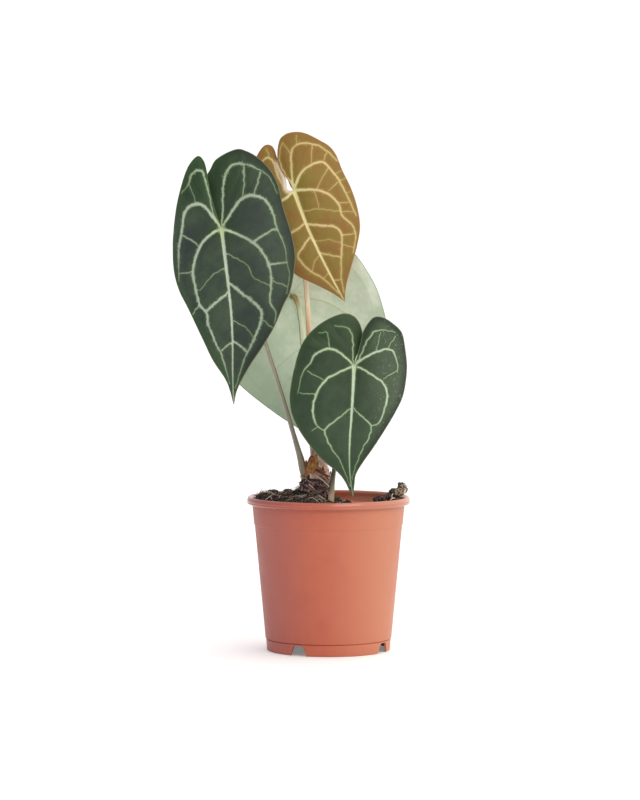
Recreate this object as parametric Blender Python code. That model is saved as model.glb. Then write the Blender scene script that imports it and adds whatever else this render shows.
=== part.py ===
"""Potted anthurium: four heart-shaped leaves on a short rootstock, in a 12 cm nursery pot.

Metres, +Z up, the pot's foot on z = 0. Sizes below are in millimetres and are multiplied by MM.
Everything is laid out round the pot's own axis, and the empty "stand_point" then shifts the
whole plant so that the middle of its footprint is the origin.
"""
import math

import bmesh
import bpy
from mathutils import Euler, Vector, noise
from mathutils.geometry import delaunay_2d_cdt, intersect_point_line

MM = 0.001
GAP = 0.3                     # clearance between pieces that touch

# Middle of the whole plant's bounding box, seen from the pot's axis.
FOOTPRINT_X = -27.2
FOOTPRINT_Y = 0.0

# Nursery pot
RIM_RADIUS = 60.0
RIM_TOP = 113.0
RIM_BOTTOM = 106.8
FOOT_RADIUS = 45.3
FOOT_RING_TOP = 8.8           # the base ring ends in a small step
SHOULDER_Z = 92.5             # a second small step runs round below the rim
WALL = 1.2
WALL_LOW_RADIUS = 46.6        # outside of the tapered wall just above the base ring
WALL_TOP_RADIUS = 55.9        # and just below the rim
LIP = (                       # (radius, height) round the rolled rim, from inside to outside
    (56.0, 110.6), (56.9, 112.5), (58.0, RIM_TOP), (59.2, 112.8), (59.9, 112.0),
    (RIM_RADIUS, 110.8), (RIM_RADIUS, 107.6), (59.6, RIM_BOTTOM), (58.7, RIM_BOTTOM),
    (58.5, 109.6), (57.0, 109.9), (56.1, 109.2),
)
FLOOR_BOTTOM = 7.6
FLOOR_TOP = 9.0
POT_SEGMENTS = 80
NOTCH_AZIMUTHS = (-29.0, 61.0, 151.0, 241.0)      # from the front, towards +X
NOTCH_FOOT_WIDTH = 12.0
NOTCH_TOP_WIDTH = 6.6
NOTCH_HEIGHT = 6.6
DRAIN_HOLE_RADIUS = 4.0
DRAIN_HOLE_CIRCLE = 36.0

# Potting mix
MIX_RINGS = 14
MIX_SEGMENTS = 48
MIX_LOW = 101.5               # level at the back right
MIX_RISE = 14.0               # how much higher the mound on the left is
MIX_RISE_FROM = 18.0          # the mound starts here across the pot
MIX_RISE_RUN = 34.0           # and is full this much further left
ROOT_MOUND = (4.0, 17.0)      # height and spread of the heap round the rootstock
CHUNK_MOUND = (11.5, 11.0, 13.0)                  # height, spread across, spread back
CHUNK_MOUND_AT = (41.0, 1.0)
MIX_BUMPS = (2.2, 9.0)        # height and size of the bumps
MIX_EDGE = (54.5, 0.88, 4.0)  # radius, share of it and drop of the hollow along the wall

# Rootstock
ROOT_X, ROOT_Y = -9.5, 0.0
ROOT_PROFILE = (              # (height, radius) of the knobby stem
    (98.0, 6.0), (102.0, 9.5), (107.0, 11.6), (113.0, 12.4), (119.0, 12.0), (124.0, 10.8),
    (128.5, 9.2), (132.5, 7.8), (137.0, 6.6), (141.0, 5.4), (143.0, 4.2),
)
ROOT_SIDES = 24

# Leaf blades
BLADE_THICKNESS = 1.1
BLADE_GRID = 7.5              # spacing of the points inside a blade
BLADE_EDGE_STEP = 5.0         # spacing of the points along its margin


def clear_scene():
    for obj in list(bpy.data.objects):
        bpy.data.objects.remove(obj, do_unlink=True)


def material(name, colour, roughness, metallic=0.0):
    mat = bpy.data.materials.new(name)
    mat.use_nodes = True
    shader = mat.node_tree.nodes["Principled BSDF"]
    shader.inputs["Base Color"].default_value = (*colour, 1.0)
    shader.inputs["Roughness"].default_value = roughness
    shader.inputs["Metallic"].default_value = metallic
    mat.diffuse_color = (*colour, 1.0)
    return mat


def add_object(name, points, faces, mat, smooth_angle=40.0):
    """A mesh object from points in millimetres, with its faces turned outwards."""
    mesh = bpy.data.meshes.new(name)
    mesh.from_pydata([Vector(p) * MM for p in points], [], faces)
    bm = bmesh.new()
    bm.from_mesh(mesh)
    bmesh.ops.recalc_face_normals(bm, faces=bm.faces)
    bm.to_mesh(mesh)
    bm.free()
    mesh.shade_smooth()
    mesh.set_sharp_from_angle(angle=math.radians(smooth_angle))
    obj = bpy.data.objects.new(name, mesh)
    bpy.context.scene.collection.objects.link(obj)
    if mat:
        mesh.materials.append(mat)
    return obj


def make_cutter(obj):
    obj.hide_render = True
    obj.display_type = 'WIRE'
    return obj


def cut(obj, cutter):
    mod = obj.modifiers.new(cutter.name, 'BOOLEAN')
    mod.operation = 'DIFFERENCE'
    mod.solver = 'EXACT'
    mod.object = cutter


def interpolate(table, value):
    """Straight-line reading of a (key, value) table, held at its ends."""
    if value <= table[0][0]:
        return table[0][1]
    for (k0, v0), (k1, v1) in zip(table, table[1:]):
        if value <= k1:
            return v0 + (v1 - v0) * (value - k0) / (k1 - k0)
    return table[-1][1]


def smooth_line(points, step):
    """Points about `step` apart on a Catmull-Rom curve through the given ones."""
    pts = [Vector(p) for p in points]
    ends = [2 * pts[0] - pts[1]] + pts + [2 * pts[-1] - pts[-2]]
    line = []
    for a, b, c, d in zip(ends, ends[1:], ends[2:], ends[3:]):
        count = max(1, round((c - b).length / step))
        for i in range(count):
            t = i / count
            line.append(0.5 * (2 * b + (c - a) * t + (2 * a - 5 * b + 4 * c - d) * t * t
                               + (3 * b - a - 3 * c + d) * t ** 3))
    line.append(pts[-1])
    return line


# ---------------------------------------------------------------- pot

def pot_wall_radius(z):
    """Outer radius of the tapered wall, with its two small steps."""
    share = (z - FOOT_RING_TOP) / (RIM_BOTTOM - FOOT_RING_TOP)
    radius = WALL_LOW_RADIUS + (WALL_TOP_RADIUS - WALL_LOW_RADIUS) * share
    if z < FOOT_RING_TOP:
        return FOOT_RADIUS + 0.7 * z / FOOT_RING_TOP
    return radius + (0.15 if z > SHOULDER_Z else -0.15)


def build_pot(mat):
    inner = [(0.0, FLOOR_TOP), (43.0, FLOOR_TOP), (pot_wall_radius(12.0) - WALL, 11.0)]
    inner += [(pot_wall_radius(z) - WALL, z) for z in (40.0, 75.0, 105.0)]
    outer = [(pot_wall_radius(SHOULDER_Z + 0.4), SHOULDER_Z + 0.4),
             (pot_wall_radius(SHOULDER_Z - 0.4), SHOULDER_Z - 0.4),
             (pot_wall_radius(50.0), 50.0),
             (pot_wall_radius(FOOT_RING_TOP + 0.1), FOOT_RING_TOP + 0.1),
             (pot_wall_radius(FOOT_RING_TOP - 0.6), FOOT_RING_TOP - 0.6),
             (FOOT_RADIUS, 0.0)]
    under = [(FOOT_RADIUS - 1.4, 0.0), (FOOT_RADIUS - 1.1, FLOOR_BOTTOM), (0.0, FLOOR_BOTTOM)]
    profile = inner + list(LIP) + outer + under

    mesh = bpy.data.meshes.new("nursery_pot")
    mesh.from_pydata([(r * MM, 0, z * MM) for r, z in profile],
                     [(i, i + 1) for i in range(len(profile) - 1)], [])
    pot = bpy.data.objects.new("nursery_pot", mesh)
    bpy.context.scene.collection.objects.link(pot)
    mesh.materials.append(mat)
    spin = pot.modifiers.new("turned wall", 'SCREW')
    spin.axis = 'Z'
    spin.steps = spin.render_steps = POT_SEGMENTS
    spin.use_merge_vertices = True
    spin.merge_threshold = 0.00001
    spin.use_smooth_shade = True
    for index, azimuth in enumerate(NOTCH_AZIMUTHS):
        cut(pot, notch_cutter(index, math.radians(azimuth)))
        cut(pot, drain_cutter(index, math.radians(azimuth)))
    return pot


def notch_cutter(index, azimuth):
    """A wedge through the base ring, wide at the foot and narrow at the top."""
    half_foot, half_top = NOTCH_FOOT_WIDTH / 2, NOTCH_TOP_WIDTH / 2
    section = [(-half_foot - 0.8, -1.0), (half_foot + 0.8, -1.0), (half_top, NOTCH_HEIGHT),
               (-half_top, NOTCH_HEIGHT)]
    out = Vector((math.sin(azimuth), -math.cos(azimuth), 0))
    across = Vector((math.cos(azimuth), math.sin(azimuth), 0))
    points = [out * reach + across * a + Vector((0, 0, z)) for reach in (39.0, 50.0)
              for a, z in section]
    faces = [(0, 1, 2, 3), (7, 6, 5, 4)]
    faces += [(i, i + 4, (i + 1) % 4 + 4, (i + 1) % 4) for i in range(4)]
    return make_cutter(add_object(f"notch_cutter_{index}", points, faces, None))


def drain_cutter(index, azimuth):
    bpy.ops.mesh.primitive_cylinder_add(
        vertices=16, radius=DRAIN_HOLE_RADIUS * MM, depth=6 * MM,
        location=(DRAIN_HOLE_CIRCLE * math.sin(azimuth) * MM,
                  -DRAIN_HOLE_CIRCLE * math.cos(azimuth) * MM, 8 * MM))
    cutter = bpy.context.object
    cutter.name = f"drain_cutter_{index}"
    return make_cutter(cutter)


# ---------------------------------------------------------------- potting mix

def mix_height(x, y):
    """Top of the mix: a mound on the left and round the rootstock, low at the back right."""
    across = min(1.0, max(0.0, (MIX_RISE_FROM - x) / MIX_RISE_RUN))
    level = MIX_LOW + MIX_RISE * across * across * (3 - 2 * across)
    height, spread = ROOT_MOUND
    level += height * math.exp(-(math.hypot(x - ROOT_X, y - ROOT_Y) / spread) ** 2)
    height, spread_x, spread_y = CHUNK_MOUND
    from_x, from_y = x - CHUNK_MOUND_AT[0], y - CHUNK_MOUND_AT[1]
    level += height * math.exp(-((from_x / spread_x) ** 2 + (from_y / spread_y) ** 2))
    height, size = MIX_BUMPS
    level += height * noise.noise(Vector((x / size, y / size, 3.1)))
    wall, share, drop = MIX_EDGE
    return level - drop * max(0.0, math.hypot(x, y) / wall - share) / (1.0 - share)


def build_mix(mat):
    """Closed solid: a bumpy top on rings, a tapered side just inside the wall, a flat bottom."""
    bottom = FLOOR_TOP + GAP
    points = [(0, 0, mix_height(0, 0))]
    for ring in range(1, MIX_RINGS + 1):
        for i in range(MIX_SEGMENTS):
            angle = 2 * math.pi * i / MIX_SEGMENTS
            radius = (pot_wall_radius(104.0) - WALL - 1.0) * ring / MIX_RINGS
            x, y = radius * math.cos(angle), radius * math.sin(angle)
            points.append((x, y, mix_height(x, y)))
    top_rows = MIX_RINGS
    for z, clear in ((60.0, 0.6), (bottom + 3.0, 0.6), (bottom, 3.2)):
        for i in range(MIX_SEGMENTS):
            angle = 2 * math.pi * i / MIX_SEGMENTS
            radius = pot_wall_radius(max(z, 12.0)) - WALL - clear
            points.append((radius * math.cos(angle), radius * math.sin(angle), z))
    points.append((0, 0, bottom))
    rows = top_rows + 3
    faces = []
    for i in range(MIX_SEGMENTS):
        j = (i + 1) % MIX_SEGMENTS
        faces.append((0, 1 + i, 1 + j))
        for row in range(rows - 1):
            a, b = 1 + row * MIX_SEGMENTS, 1 + (row + 1) * MIX_SEGMENTS
            faces.append((a + i, b + i, b + j, a + j))
        last = 1 + (rows - 1) * MIX_SEGMENTS
        faces.append((last + i, len(points) - 1, last + j))
    return add_object("potting_mix", points, faces, mat)


# ---------------------------------------------------------------- rootstock and sheaths

def root_radius(z, angle, extra=0.0):
    """Radius of the knobby stem; leaf scars run round it as low bands."""
    base = interpolate(ROOT_PROFILE, z)
    knob = noise.noise(Vector((2.1 * math.cos(angle), 2.1 * math.sin(angle), z / 5.0)))
    band = 0.35 * math.sin(z * 1.25 + 2.0 * math.sin(angle))
    fade = min(1.0, max(0.0, (136.0 - z) / 8.0))
    return base + fade * (1.3 * knob + band) + extra


def build_root(mat):
    heights = [98 + 45 * i / 18 for i in range(19)]
    points = [(ROOT_X, ROOT_Y, heights[0] - 1.5)]
    for z in heights:
        for i in range(ROOT_SIDES):
            angle = 2 * math.pi * i / ROOT_SIDES
            radius = root_radius(z, angle)
            points.append((ROOT_X + radius * math.cos(angle), ROOT_Y + radius * math.sin(angle), z))
    points.append((ROOT_X, ROOT_Y, heights[-1] + 0.8))
    faces = []
    for i in range(ROOT_SIDES):
        j = (i + 1) % ROOT_SIDES
        faces.append((0, 1 + j, 1 + i))
        for row in range(len(heights) - 1):
            a, b = 1 + row * ROOT_SIDES, 1 + (row + 1) * ROOT_SIDES
            faces.append((a + i, a + j, b + j, b + i))
        last = 1 + (len(heights) - 1) * ROOT_SIDES
        faces.append((last + i, last + j, len(points) - 1))
    return add_object("rootstock", points, faces, mat)


def root_clearance_cutter():
    """The rootstock's own outline, a gap bigger all round, to seat it in the mix."""
    heights = [95.0, 100.0, 105.0, 110.0, 115.0, 120.0, 125.0, 130.0]
    points = []
    for z in heights:
        for i in range(ROOT_SIDES):
            angle = 2 * math.pi * i / ROOT_SIDES
            nearby = max(root_radius(min(max(z + dz, 98.0), 143.0), angle + da)
                         for dz in (-2.5, -1.2, 0.0, 1.2, 2.5) for da in (-0.13, 0.0, 0.13))
            radius = nearby + 1.2 * GAP
            points.append((ROOT_X + radius * math.cos(angle), ROOT_Y + radius * math.sin(angle), z))
    rows = len(heights)
    faces = [tuple(range(ROOT_SIDES)), tuple(range((rows - 1) * ROOT_SIDES, rows * ROOT_SIDES))]
    for row in range(rows - 1):
        a, b = row * ROOT_SIDES, (row + 1) * ROOT_SIDES
        for i in range(ROOT_SIDES):
            j = (i + 1) % ROOT_SIDES
            faces.append((a + i, a + j, b + j, b + i))
    return make_cutter(add_object("root_clearance", points, faces, None))


def build_sheath(name, mat, azimuth, half_width, foot, tip, flare):
    """A dried, pointed bud sheath wrapped round the stem; it flares outwards at its tip."""
    rows, columns = 7, 8
    skins = []
    for skin in (0, 1):
        for row in range(rows + 1):
            up = row / rows
            z = foot + (tip - foot) * up
            spread = half_width * (1.0 - 0.93 * up ** 2.2)
            for col in range(columns + 1):
                side = 2 * col / columns - 1
                angle = math.radians(azimuth) - math.pi / 2 + spread * side
                stand = 0.4 + 1.3 * GAP + flare * up ** 2 + 0.7 * skin
                radius = max(root_radius(z + dz, angle) for dz in (-1.5, 0.0, 1.5)) + stand
                skins.append((ROOT_X + radius * math.cos(angle),
                              ROOT_Y + radius * math.sin(angle), z))
    layer = (rows + 1) * (columns + 1)
    faces = []
    for row in range(rows):
        for col in range(columns):
            a = row * (columns + 1) + col
            b = a + columns + 1
            faces.append((a, b, b + 1, a + 1))
            faces.append((a + layer, a + 1 + layer, b + 1 + layer, b + layer))
    rim = [c for c in range(columns + 1)]
    rim += [r * (columns + 1) + columns for r in range(1, rows + 1)]
    rim += [rows * (columns + 1) + c for c in range(columns - 1, -1, -1)]
    rim += [r * (columns + 1) for r in range(rows - 1, 0, -1)]
    for a, b in zip(rim, rim[1:] + rim[:1]):
        faces.append((a, b, b + layer, a + layer))
    return add_object(name, skins, faces, mat)


# ---------------------------------------------------------------- leaf stalks

def tube(name, route, widths, mat, sides=10, extra=0.0, step=9.0):
    """A stalk along a smooth route; widths are (share of the length, diameter)."""
    line = smooth_line(route, step)
    lengths = [0.0]
    for a, b in zip(line, line[1:]):
        lengths.append(lengths[-1] + (b - a).length)
    side_way = Vector((1, 0, 0))
    points = []
    for i, centre in enumerate(line):
        ahead = line[min(i + 1, len(line) - 1)] - line[max(i - 1, 0)]
        ahead.normalize()
        side_way = (side_way - ahead * side_way.dot(ahead)).normalized()
        other_way = ahead.cross(side_way)
        radius = interpolate(widths, lengths[i] / lengths[-1]) / 2 + extra
        for k in range(sides):
            angle = 2 * math.pi * k / sides
            points.append(centre + side_way * radius * math.cos(angle)
                          + other_way * radius * math.sin(angle))
    faces = [tuple(reversed(range(sides))), tuple(range(len(points) - sides, len(points)))]
    for ring in range(len(line) - 1):
        a, b = ring * sides, (ring + 1) * sides
        for k in range(sides):
            n = (k + 1) % sides
            faces.append((a + k, a + n, b + n, b + k))
    return add_object(name, points, faces, mat)


STALKS = {
    # name: route from the rootstock to the blade, diameters, colour
    "left": dict(
        route=((-16.6, -2.8, 127), (-18.6, -3.4, 133), (-20.2, -4, 140), (-22.1, -4.6, 147),
               (-26.3, -5.5, 161.5), (-31.7, -6.4, 180), (-38.5, -7.4, 202), (-45.8, -8, 225),
               (-57, -9.5, 262), (-67.5, -12, 291), (-74, -15, 304), (-76.6, -19.5, 307.6),
               (-77.2, -24.7, 308.2)),
        widths=((0, 5.2), (0.12, 3.6), (0.5, 2.9), (0.93, 2.7), (1, 3.6))),
    "young": dict(
        route=((-9.4, -1.6, 139), (-10.6, -1.2, 150), (-12, 2, 175), (-13.8, 5, 215),
               (-15, 8, 245), (-17, 10.5, 275), (-20.6, 13, 305), (-23.4, 13, 327),
               (-24.4, 9.5, 334.6), (-24.8, 4.2, 336.2)),
        widths=((0, 5.0), (0.1, 3.9), (0.6, 3.5), (0.94, 3.3), (1, 4.0))),
    "rear": dict(
        route=((-11.2, 5.0, 136), (-13, 6.8, 150), (-15, 10, 175), (-16.8, 14, 205),
               (-18.6, 17.5, 226), (-20.4, 22, 243), (-22.6, 26, 254), (-25.2, 29.5, 259),
               (-27.0, 34.4, 259.0)),
        widths=((0, 4.8), (0.1, 3.9), (0.6, 3.4), (0.9, 3.4), (0.94, 4.2), (1, 4.0))),
    "right": dict(
        route=((2.6, -17.5, 106.5), (2.8, -18, 114), (3.3, -18.6, 124), (4.6, -19, 137),
               (7.4, -19.4, 155), (11.2, -20, 177), (15.2, -21.5, 197), (17.6, -24, 206),
               (18.3, -29.5, 208.6)),
        widths=((0, 4.4), (0.2, 3.2), (0.6, 2.4), (0.92, 2.4), (1, 3.3))),
}


# ---------------------------------------------------------------- leaf blades
#
# A blade is drawn in front elevation, in millimetres from its own junction with the stalk:
# (across, up). The midrib runs from the junction to the tip. "left" and "right" are the margins of
# the two halves, from the junction round the lobe and down to the tip, so that one lobe can pass
# behind the other at the notch. blade_depth() then gives every point its place front to back:
#   yaw        turn about the midrib        lean       tip towards the viewer (-) or away (+)
#   bow        arch along the midrib        crown      how far each half's margin falls back
#   valley     dip along the midrib         lobe_back  how far each lobe leans back
#   tuck       lobe passing behind          half       half widths     ripple   margin's waves
#   lobe       height of the lobes above the junction   notch_lean   slant of the notch

BLADES = {
    "left": dict(
        junction=(-77.5, -26.0, 309.5),
        midrib=((0, 0), (2.4, -19), (5.4, -44), (7.2, -62), (8.1, -82), (8.1, -104), (8.7, -127)),
        left=((0, 0), (-2.5, 6.5), (-5.4, 15), (-8, 24.5), (-9.8, 33.5), (-11.4, 43), (-13.4, 49.4),
              (-17.4, 53), (-22.9, 48), (-27.2, 39), (-32.3, 21), (-35.2, 3.5), (-36.4, -12),
              (-35.6, -30), (-31.6, -44.5), (-24, -59), (-13.4, -80.5), (-6.2, -95), (2.5, -108),
              (6.2, -117), (8.7, -127)),
        right=((0, 0), (-1.3, 5.5), (-5, 12), (-10, 22), (-12, 32), (-10.8, 39), (-8.3, 43.6),
               (-4.7, 50), (3.3, 55.2), (11.3, 58), (17.1, 56.8), (25, 52.6), (33.8, 44.3),
               (40.3, 32.7), (44.6, 15.2), (50.1, -2.2), (53, -16.7), (52.6, -28.3),
               (49.7, -44.3), (44.6, -55.2), (38.1, -70.4), (29.4, -85), (21.4, -97),
               (14.2, -109.5), (10.5, -118), (8.7, -127)),
        notch_lean=-0.22, lobe=56.0,
        yaw=0.26, lean=-0.16, bow=14.0, crown=(16.0, 18.0), valley=3.0, lobe_back=(10.0, 10.0),
        tuck=(0.0, 8.0), half=(38.0, 50.0), ripple=0.8),
    "young": dict(
        junction=(-25.6, 3.0, 338.0),
        midrib=((0, 0), (2.2, -6), (7, -19), (11.4, -30), (17.2, -42.5), (23, -54.3), (29, -66),
                (37.4, -81.4)),
        left=((0, 0), (-3.3, -0.7), (-5.5, 0.7), (-9.2, 4.8), (-12.1, 11), (-13.6, 17), (-14.3, 22),
              (-14.5, 29), (-16.5, 32.5), (-20.2, 33), (-23.5, 30.4), (-26.8, 25), (-30, 18),
              (-31.6, 9), (-31.4, -3), (-28.8, -16), (-23.6, -29), (-16.5, -41), (-7.7, -53),
              (1, -61), (7, -64.6), (16.5, -69), (27.5, -74.5), (34.8, -79.2), (37.4, -81.4)),
        right=((0, 0), (-2.2, 2.9), (-4, 7.3), (-7, 11.7), (-9.5, 16), (-11, 20), (-11.7, 24.2),
               (-11.4, 31), (-9.9, 37), (-7, 40), (-3.3, 41.8), (3.3, 42.5), (10, 41), (19.4, 36.3),
               (26, 32.3), (31.2, 25.7), (35.6, 14.7), (41.4, 2.2), (45.9, -11.7), (48, -26.4),
               (45.9, -40.3), (42.5, -52.8), (39.2, -66), (37.8, -74), (37.4, -81.4)),
        notch_lean=0.0, lobe=42.0,
        yaw=-0.14, lean=-0.20, bow=9.0, crown=(9.0, 12.0), valley=2.5, lobe_back=(7.0, 6.0),
        tuck=(0.0, 0.0), half=(38.0, 40.0), ripple=0.7),
    "rear": dict(
        junction=(-27.8, 36.0, 260.4),
        midrib=((0, 0), (6, -20), (12.2, -40), (18.2, -60), (24.2, -80), (29.8, -99), (35, -117)),
        left=((0, 0), (-5.2, 9), (-9.3, 20), (-11.6, 31), (-13.4, 38.7), (-17.9, 42.5),
              (-24.6, 41), (-32.8, 33.5), (-41, 20), (-47.7, 3.7), (-51.4, -12.7), (-52.2, -29.8),
              (-49.9, -44.7), (-45.4, -57.4), (-38.7, -66.3), (-29, -75.2), (-14.2, -86.8),
              (-3.7, -94.2), (6.3, -100.6), (16, -106.8), (26, -112.4), (35, -117)),
        right=((0, 0), (-3, 8), (-6.6, 18.5), (-8.8, 29), (-8.2, 38.5), (-3, 45.4), (6.7, 49.9),
               (18.6, 49.2), (32.8, 42.5), (46.9, 30.9), (55.9, 18.6), (63.3, 5.2), (67.8, -8.2),
               (70.4, -20), (71, -35), (68.5, -52.2), (62.6, -70.8), (53.6, -89.4), (44, -105),
               (35, -117)),
        notch_lean=0.0, lobe=46.0,
        yaw=0.08, lean=0.14, bow=-11.0, crown=(-11.0, -13.0), valley=-2.5, lobe_back=(-6.0, -5.0),
        tuck=(0.0, 0.0), half=(55.0, 55.0), ripple=-1.0),
    "right": dict(
        junction=(18.4, -31.0, 210.4),
        midrib=((0, 0), (-0.4, -10), (-1.4, -29), (-2.9, -50), (-3.4, -64.5), (-2.9, -79),
                (-0.7, -95)),
        left=((0, 0), (1.1, 6), (3.8, 11.5), (6.4, 18), (5.9, 24.6), (3.6, 31.5), (-0.7, 36.2),
              (-7.2, 37.8), (-15.9, 35.2), (-25.4, 29.7), (-34, 21.4), (-39.1, 12.3),
              (-43, -0.7), (-45.7, -14.5), (-46.5, -24.6), (-44.9, -34.8), (-40.6, -44.2),
              (-35.5, -52.2), (-28.3, -61.6), (-21, -69.2), (-11.6, -76.8), (-6.5, -83.4),
              (-3.3, -90), (-0.7, -95)),
        right=((0, 0), (1.9, 5), (3, 9.5), (4.3, 14.5), (5.4, 19), (6.5, 24), (8.7, 28.3),
               (11.6, 32.3), (14.5, 35), (18.1, 35.5), (23.2, 34), (29, 30), (33.3, 26),
               (35.7, 21.5), (37.3, 13), (38.8, 0), (38, -11.6), (35.5, -23.2), (29.7, -34.8),
               (22.5, -46.4), (13.8, -59.4), (6.5, -69.6), (1.4, -78.3), (0.2, -86), (-0.7, -95)),
        notch_lean=0.24, lobe=37.0,
        yaw=-0.22, lean=-0.12, bow=9.0, crown=(12.0, 11.0), valley=3.5, lobe_back=(8.0, 5.0),
        tuck=(6.0, 0.0), half=(46.0, 38.0), ripple=0.8),
}


def along_and_off(blade, across, up):
    """A point in the blade's own axes: distance from the junction towards the tip, and sideways."""
    tip = Vector(blade["midrib"][-1])
    axis = tip.normalized()
    point = Vector((across, up))
    return point.dot(axis), point.dot(Vector((-axis.y, axis.x)))


def blade_depth(blade, side, across, up):
    """Front-to-back place of a point of the blade, measured from the junction (+ is away)."""
    length = Vector(blade["midrib"][-1]).length
    along, sideways = along_and_off(blade, across, up)
    midrib = sorted(along_and_off(blade, *point) for point in blade["midrib"])
    middle = interpolate(midrib, along) if along > 0 else -blade["notch_lean"] * along
    off = abs(sideways - middle) / blade["half"][side]
    below, above = max(0.0, along) / length, max(0.0, -along) / blade["lobe"]
    near_tip = 1.0 - 0.75 * below ** 2
    depth = -blade["yaw"] * sideways + blade["lean"] * max(0.0, along)
    depth += blade["bow"] * below ** 2
    depth += blade["crown"][side] * off ** 2 * near_tip
    depth -= blade["valley"] * math.sin(math.pi * min(1.0, off)) * near_tip
    depth += blade["lobe_back"][side] * above ** 2
    depth += blade["tuck"][side] * math.exp(-2.2 * off) * above / (above + 0.25)
    depth += blade["ripple"] * min(1.0, off) ** 3 * math.sin(along / 9.0 + 2.0 * side)
    return depth


def inside(polygon, x, z):
    hit = False
    for (x0, z0), (x1, z1) in zip(polygon, polygon[1:] + polygon[:1]):
        if (z0 > z) != (z1 > z) and x < x0 + (x1 - x0) * (z - z0) / (z1 - z0):
            hit = not hit
    return hit


def margin_distance(polygon, x, z):
    point = Vector((x, z))
    best = 1e9
    for a, b in zip(polygon, polygon[1:] + polygon[:1]):
        near, share = intersect_point_line(point, Vector(a), Vector(b))
        if share < 0:
            near = Vector(a)
        elif share > 1:
            near = Vector(b)
        best = min(best, (point - Vector((near[0], near[1]))).length)
    return best


def half_sheet(blade, side):
    """Triangles of one half of the blade in front elevation."""
    margin = blade["left" if side == 0 else "right"]
    outline = [tuple(p) for p in smooth_line(margin, BLADE_EDGE_STEP)]
    outline += [tuple(p) for p in reversed(smooth_line(blade["midrib"], BLADE_GRID)[1:-1])]
    seeds = list(outline)
    xs, zs = [p[0] for p in outline], [p[1] for p in outline]
    row_step = BLADE_GRID * math.sqrt(3) / 2
    for row in range(int((max(zs) - min(zs)) / row_step) + 1):
        z = min(zs) + row_step * (row + 0.5)
        for col in range(int((max(xs) - min(xs)) / BLADE_GRID) + 2):
            x = min(xs) + BLADE_GRID * (col + 0.5 * (row % 2))
            if inside(outline, x, z) and margin_distance(outline, x, z) > 0.5 * BLADE_GRID:
                seeds.append((x, z))
    edges = [(i, (i + 1) % len(outline)) for i in range(len(outline))]
    result = delaunay_2d_cdt([Vector(p) for p in seeds], edges, [], 0, 1e-6)
    triangles = []
    for face in result[2]:
        middle = sum((result[0][i] for i in face), Vector((0, 0))) / 3
        if inside(outline, middle.x, middle.y):
            triangles.append(tuple(face))
    return [tuple(p) for p in result[0]], triangles


def build_blade(name, blade, mat):
    """Both halves joined along the midrib, then thickened into one closed skin."""
    origin = Vector(blade["junction"])
    bm = bmesh.new()
    for side in (0, 1):
        points, triangles = half_sheet(blade, side)
        verts = [bm.verts.new(origin + Vector((x, blade_depth(blade, side, x, z), z)))
                 for x, z in points]
        for face in triangles:
            bm.faces.new([verts[i] for i in face])
    on_midrib = [v for v in bm.verts if v.is_boundary]
    bmesh.ops.remove_doubles(bm, verts=on_midrib, dist=0.02)
    bmesh.ops.recalc_face_normals(bm, faces=bm.faces)
    if sum(f.normal.y * f.calc_area() for f in bm.faces) > 0:
        bmesh.ops.reverse_faces(bm, faces=bm.faces)
    bm.normal_update()
    bm.verts.index_update()
    bm.verts.ensure_lookup_table()
    count = len(bm.verts)
    half = BLADE_THICKNESS / 2
    points = [v.co + v.normal * half for v in bm.verts] + [v.co - v.normal * half for v in bm.verts]
    faces = [tuple(v.index for v in f.verts) for f in bm.faces]
    faces += [tuple(v.index + count for v in reversed(f.verts)) for f in bm.faces]
    for edge in bm.edges:
        if edge.is_boundary:
            a, b = [v.index for v in edge.verts]
            faces.append((a, b, b + count, a + count))
    bm.free()
    return add_object(name, points, faces, mat, 60.0)


# ---------------------------------------------------------------- bark

def build_chip(name, mat, centre, size, turn, seed, tilt=0.0, detail=1):
    """An irregular lump of bark from a sphere squeezed and knocked about by noise."""
    bm = bmesh.new()
    bmesh.ops.create_icosphere(bm, subdivisions=detail, radius=1.0)
    turned = Euler((0.0, -tilt, turn)).to_matrix()
    for v in bm.verts:
        bump = 1.0 + 0.3 * noise.noise(v.co * 1.7 + Vector((seed * 5.3, 0, 0)))
        v.co = turned @ Vector([v.co[k] * size[k] * bump / 2 for k in range(3)]) + Vector(centre)
    points = [tuple(v.co) for v in bm.verts]
    bm.verts.index_update()
    faces = [tuple(v.index for v in f.verts) for f in bm.faces]
    bm.free()
    return add_object(name, points, faces, mat, 20.0)


def lie_on_mix(x, y, size, turn):
    """Height at which a lump of this size lies on the mix without touching it."""
    reach = [(0.5 * size[0] * a, 0.5 * size[1] * b) for a in (-1, 0, 1) for b in (-1, 0, 1)]
    cos_t, sin_t = math.cos(turn), math.sin(turn)
    ground = max(mix_height(x + a * cos_t - b * sin_t, y + a * sin_t + b * cos_t)
                 - 0.5 * size[2] * (0.75 if a or b else 0) for a, b in reach)
    return ground + 0.5 * size[2] + 0.6


# The large piece leans outwards over the rim, its lower end in the mix.
CHUNK_CENTRE = (52.2, 1.5, 116.8)
CHUNK_SIZE = (17.0, 10.0, 9.0)
CHUNK_TURN = 0.1
CHUNK_TILT = math.radians(34.0)

CHIPS = (
    # (across, back, size, turn) on the mix
    (-41.0, 8.0, (9.0, 6.0, 4.0), 0.5),
    (-34.0, -16.0, (8.0, 5.0, 3.4), 2.0),
    (-30.0, 24.0, (10.0, 6.0, 4.5), 1.1),
    (-12.0, -32.0, (8.0, 6.0, 3.6), 0.2),
    (14.0, -36.0, (9.0, 5.0, 4.0), 2.6),
    (32.0, -26.0, (7.5, 5.5, 3.6), 1.6),
    (8.0, 34.0, (9.0, 7.0, 4.0), 0.9),
    (34.0, 20.0, (8.0, 6.0, 4.4), 2.2),
)


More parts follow.
